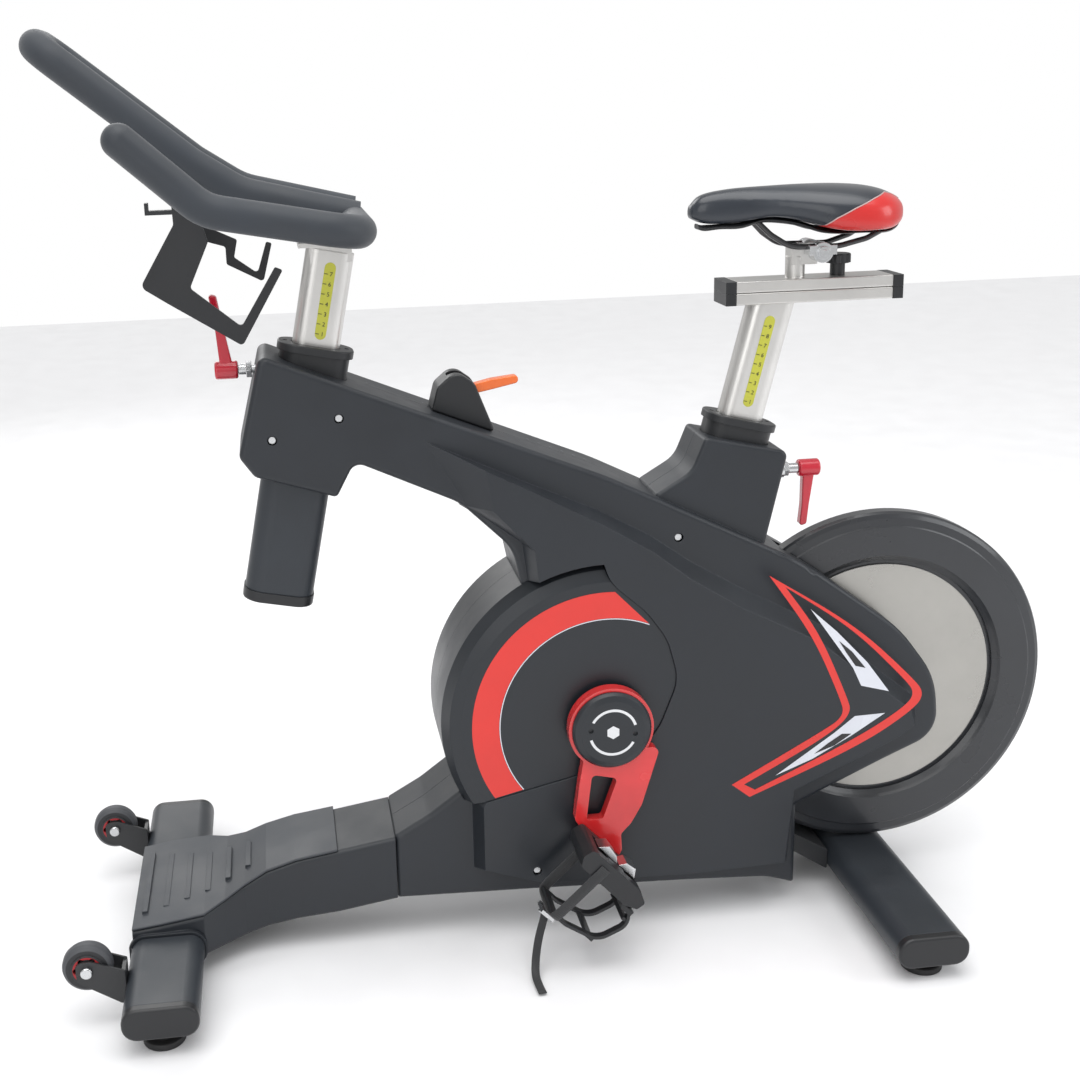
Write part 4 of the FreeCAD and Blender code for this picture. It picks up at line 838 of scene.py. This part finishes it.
for right, tag, body in pedals:
    hoop = eased([(strap_x, y, z) for y, z in (
        (inner_y, 4), (inner_y, -50), (inner_y, -84), (inner_y - 7, -91),
        (-150, -91.6), (outer_y + 7, -91), (outer_y, -84), (outer_y, -50),
        (outer_y, 4))], 3)
    across = from_pedal([(1, 0, 0)], False)[0] - from_pedal([(0, 0, 0)], False)[0]
    loop = rod("strap_loop_" + tag, from_pedal(hoop, right),
               loop_band, across, webbing, body)
    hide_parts("toe_strap_" + tag)
    start = from_pedal([(strap_x, outer_y + 27, -96)], False)[0] * 1000
    drop_to_floor = tail_end_z - start[2]
    z = np.concatenate([[3.0], tail_fall * drop_to_floor])
    drop = start + np.column_stack([tail_sway, z])
    if right:
        drop = drop * (1, -1, 1) + to_right_pedal
    rod("strap_tail_" + tag, eased(drop, 3) / 1000.0, tail_band, (1, 0, 0), webbing,
        body)
    for name, low, high in (("buckle_plate", (-28, outer_y + 15, -97.5),
                             (-6, outer_y + 39, -92.6)),
                            ("buckle_bar", (-26, outer_y + 24, -100.5),
                             (-8, outer_y + 29, -97.5))):
        piece("strap_%s_%s" % (name, tag), from_pedal(box_corners(low, high), right),
              box_faces, zinc, body, False, True)
print("straps hang from", start.round(0))

# %% [markdown]
# ## Printed scales
# Both posts carry a yellow strip with numbers, so that a rider can set the same
# height again. The strips are printed film, so they are flat sheets, and the marks
# are set from a single pitch along each post's own axis.

# %% Height scales on the two posts
scale_film = vinyl("scale_film", (0.46, 0.46, 0.045), 0.4)
ink = vinyl("scale_ink", (0.02, 0.02, 0.02), 0.5)
post_face = 0.0180    # metres from the middle plane to a post's near side
ink_face = post_face + 0.0004
scale_pitch = 12.5
figure_aside, tick_aside = 2.2, 6.2    # millimetres from the strip's middle line


def capsule(a, b, width, count=10):
    """The outline of a strip from a to b with round ends."""
    a, b = np.asarray(a, float), np.asarray(b, float)
    along = (b - a) / np.linalg.norm(b - a)
    out = np.array([-along[1], along[0]])
    turn = np.linspace(-np.pi / 2, np.pi / 2, count)
    r = width / 2
    end = b + r * (np.cos(turn)[:, None] * along + np.sin(turn)[:, None] * out)
    start = a - r * (np.cos(turn)[:, None] * along + np.sin(turn)[:, None] * out)
    return np.vstack([end, start])


def printed(name, words, at, height, slope, face, coat, body):
    """Flat lettering standing at (x, z) on the near side, its foot turned by slope."""
    curve = bpy.data.curves.new(name, "FONT")
    curve.body, curve.size, curve.align_x, curve.align_y = words, 1.0, "CENTER", "CENTER"
    holder = bpy.data.objects.new(name + "_text", curve)
    bpy.context.scene.collection.objects.link(holder)
    source = holder.evaluated_get(bpy.context.evaluated_depsgraph_get())
    shape = bpy.data.meshes.new_from_object(source)
    flat = np.empty(len(shape.vertices) * 3)
    shape.vertices.foreach_get("co", flat)
    flat = flat.reshape(-1, 3)[:, :2] * height
    c, s = math.cos(slope), math.sin(slope)
    turned = np.stack([flat[:, 0] * c - flat[:, 1] * s,
                       flat[:, 0] * s + flat[:, 1] * c], 1) + np.asarray(at, float)
    faces = [tuple(f.vertices) for f in shape.polygons]
    bpy.data.objects.remove(holder)
    bpy.data.curves.remove(curve)
    bpy.data.meshes.remove(shape)
    return piece(name, on_side(turned, -1, face), faces, coat, body, False)


for label, low, high, body in (
        ("bar_scale", (-313, 822), (-296.5, 903), "handlebar_set"),
        ("seat_scale", (236.5, 706), (263, 810), "seat_post_set")):
    low, high = np.array(low, float), np.array(high, float)
    along = (high - low) / np.linalg.norm(high - low)
    slope = math.atan2(along[1], along[0]) - math.pi / 2
    sticker(label, capsule(low, high, 14), -1, post_face, scale_film, body)
    aside = np.array([along[1], -along[0]])
    count = int(np.linalg.norm(high - low) // scale_pitch) + 1
    for k in range(count):
        at = low + along * scale_pitch * k
        printed("%s_mark_%02d" % (label, k), "%d" % (k + 1), at + aside * figure_aside,
                7.5, slope, ink_face, ink, body)
        tick = capsule(at - aside * tick_aside, at - aside * figure_aside, 0.8, 4)
        sticker("%s_tick_%02d" % (label, k), tick, -1, ink_face, ink, body)
    print(label, "has", count, "marks")

# %% [markdown]
# ## Marks on the crank caps and the beam
# The round caps over the crank bolts have a printed pale ring, broken where the two
# screws sit. The beam carries a thin rounded outline near the head and a row of small
# level dots beside the resistance lever.

# %% Rings, an outline and dots
cap_face = float(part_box("crank_caps")[0][1])
white_ink = vinyl("cap_ring_ink", (0.72, 0.73, 0.75), 0.35)
ring_in, ring_out = 28.5, 32
for side, tag in both_sides:
    for start, stop, half in ((16, 150, "upper"), (196, 330, "lower")):
        strip("cap_ring_%s_%s" % (half, tag), arc(ring_out, start, stop, 40),
              arc(ring_in, start, stop, 40), side, cap_face, white_ink, "crankset")
    sticker("cap_mark_" + tag, arc(9, 90, 450, 7)[:6], side, cap_face, white_ink,
            "crankset")


def lid_of(*nodes):
    """The top surface of some CAD parts, to be asked for its height at (x, y)."""
    trees = []
    for node in nodes:
        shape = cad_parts[node].data
        co = np.empty(len(shape.vertices) * 3)
        shape.vertices.foreach_get("co", co)
        trees.append(BVHTree.FromPolygons([tuple(p) for p in co.reshape(-1, 3)],
                                          [tuple(f.vertices) for f in shape.polygons]))

    def height(x, y):
        hits = [t.ray_cast(Vector((x, y, 1.5)), Vector((0, 0, -1)))[0] for t in trees]
        return max(h.z for h in hits if h is not None)
    return height


beam_top = lid_of("shroud_left", "shroud_right")
film_lift = 0.0005


def lying(flat):
    """Flat (x, y) points in millimetres, laid half a millimetre above the beam."""
    flat = np.asarray(flat, float) / 1000.0
    return [(x, y, beam_top(x, y) + film_lift) for x, y in flat]


outline_from, outline_to = (-250, 16), (-192, 16)
edges_of_line = [capsule(outline_from, outline_to, width) for width in (15, 13.6)]
ends = len(edges_of_line[0])
piece("beam_outline", lying(np.vstack(edges_of_line)),
      grid_faces(2, ends, False, True), grey_vinyl, "frame", False)
dot_radius, dots_y = 2.1, 14
turn = np.linspace(0, 2 * np.pi, 14, endpoint=False)
for k, x in enumerate(np.linspace(-50, 26, 6)):
    dot = np.stack([x + dot_radius * np.cos(turn), dots_y + dot_radius * np.sin(turn)], 1)
    piece("level_dot_%d" % k, lying(dot), [range(len(dot))], grey_vinyl, "frame", False)
print("beam outline lies at z", round(beam_top(-0.22, 0.016), 3))

# %% [markdown]
# ## The pedals' clip-in side
# A pedal's other face holds a shoe cleat between two bright steel jaws. Each could be
# bent from a sheet, but only its side view is seen, so that outline is drawn once and
# carried straight across the pedal.

# %% Bright jaws of the clip-in side
slab_top = 13.2    # millimetres above the pedal's axle
jaw_ys = (-163.6, -140.4)
jaws = {
    "toe": [(-31, slab_top), (-21, 23), (-4, 20), (3.4, slab_top)],
    "heel": [(7.4, slab_top), (13.6, 22), (28, 24), (36.4, slab_top)],
}
for right, tag, body in pedals:
    for name, outline in jaws.items():
        n = len(outline)
        solid = np.vstack([np.insert(np.array(outline, float), 1, y, axis=1)
                           for y in jaw_ys])
        faces = grid_faces(2, n, False, True).tolist()
        faces += [list(range(n)), list(range(n, 2 * n))]
        piece("pedal_jaw_%s_%s" % (name, tag), from_pedal(solid, right), faces, zinc,
              body, False, True)
print("jaws on each pedal:", len(jaws))

# %% [markdown]
# ## Studio
# The bike stands on a pale seamless floor. A very soft daylight keeps the floor even
# to its far edge. A large overhead panel draws the long highlights on the beam and
# bars, a second fills the near side, and two more lift the wheel and far edges.

# %% Floor and lights
floor = piece("studio_floor", [(-6, -6, 0), (6, -6, 0), (6, 6, 0), (-6, 6, 0)],
              [(0, 1, 2, 3)], finish("studio_floor", (0.86, 0.86, 0.87), 0.7,
                                     grain_scale=60, bump=0.02, patch=0.01,
                                     wear=0.0, dusty=0.0), None, False)


def soft_light(name, place, target, size, power, tint=(1, 1, 1)):
    """A square light panel at place that faces target."""
    panel = bpy.data.lights.new(name, "AREA")
    panel.shape, panel.size, panel.energy, panel.color = "SQUARE", size, power, tint
    made = bpy.data.objects.new(name, panel)
    aim = (Vector(target) - Vector(place)).to_track_quat("-Z", "Y")
    made.matrix_world = Matrix.Translation(place) @ aim.to_matrix().to_4x4()
    bpy.context.scene.collection.objects.link(made)
    return made


soft_light("overhead", (0.1, -0.4, 3.0), (0, 0, 0.4), 2.4, 26)
soft_light("near_fill", (-1.6, -3.0, 1.8), (0, 0, 0.5), 2.0, 22)
even = bpy.data.lights.new("even_daylight", "SUN")
even.energy, even.angle = 1.35, math.radians(60)
daylight = bpy.data.objects.new("even_daylight", even)
daylight.rotation_euler = (math.radians(14), math.radians(-10), 0)
bpy.context.scene.collection.objects.link(daylight)
soft_light("rear_lift", (2.6, -1.2, 1.6), (0.3, 0, 0.5), 1.4, 20, (0.96, 0.98, 1.0))
soft_light("far_rim", (-1.2, 2.6, 2.2), (0, 0, 0.7), 1.8, 26)
sky = bpy.data.worlds.new("studio_white")
bpy.context.scene.world = sky
sky.use_nodes = True
sky_tree = sky.node_tree
glow = sky_tree.nodes["Background"]
glow.inputs["Color"].default_value = (1, 1, 1, 1)
seen = put(sky_tree, "ShaderNodeLightPath")
level = put(sky_tree, "ShaderNodeMapRange", {"To Min": 0.58, "To Max": 1.0})
join(sky_tree, (seen.outputs["Is Camera Ray"], level.inputs["Value"]),
     (level.outputs["Result"], glow.inputs["Strength"]))
bpy.context.scene.view_settings.view_transform = "Standard"
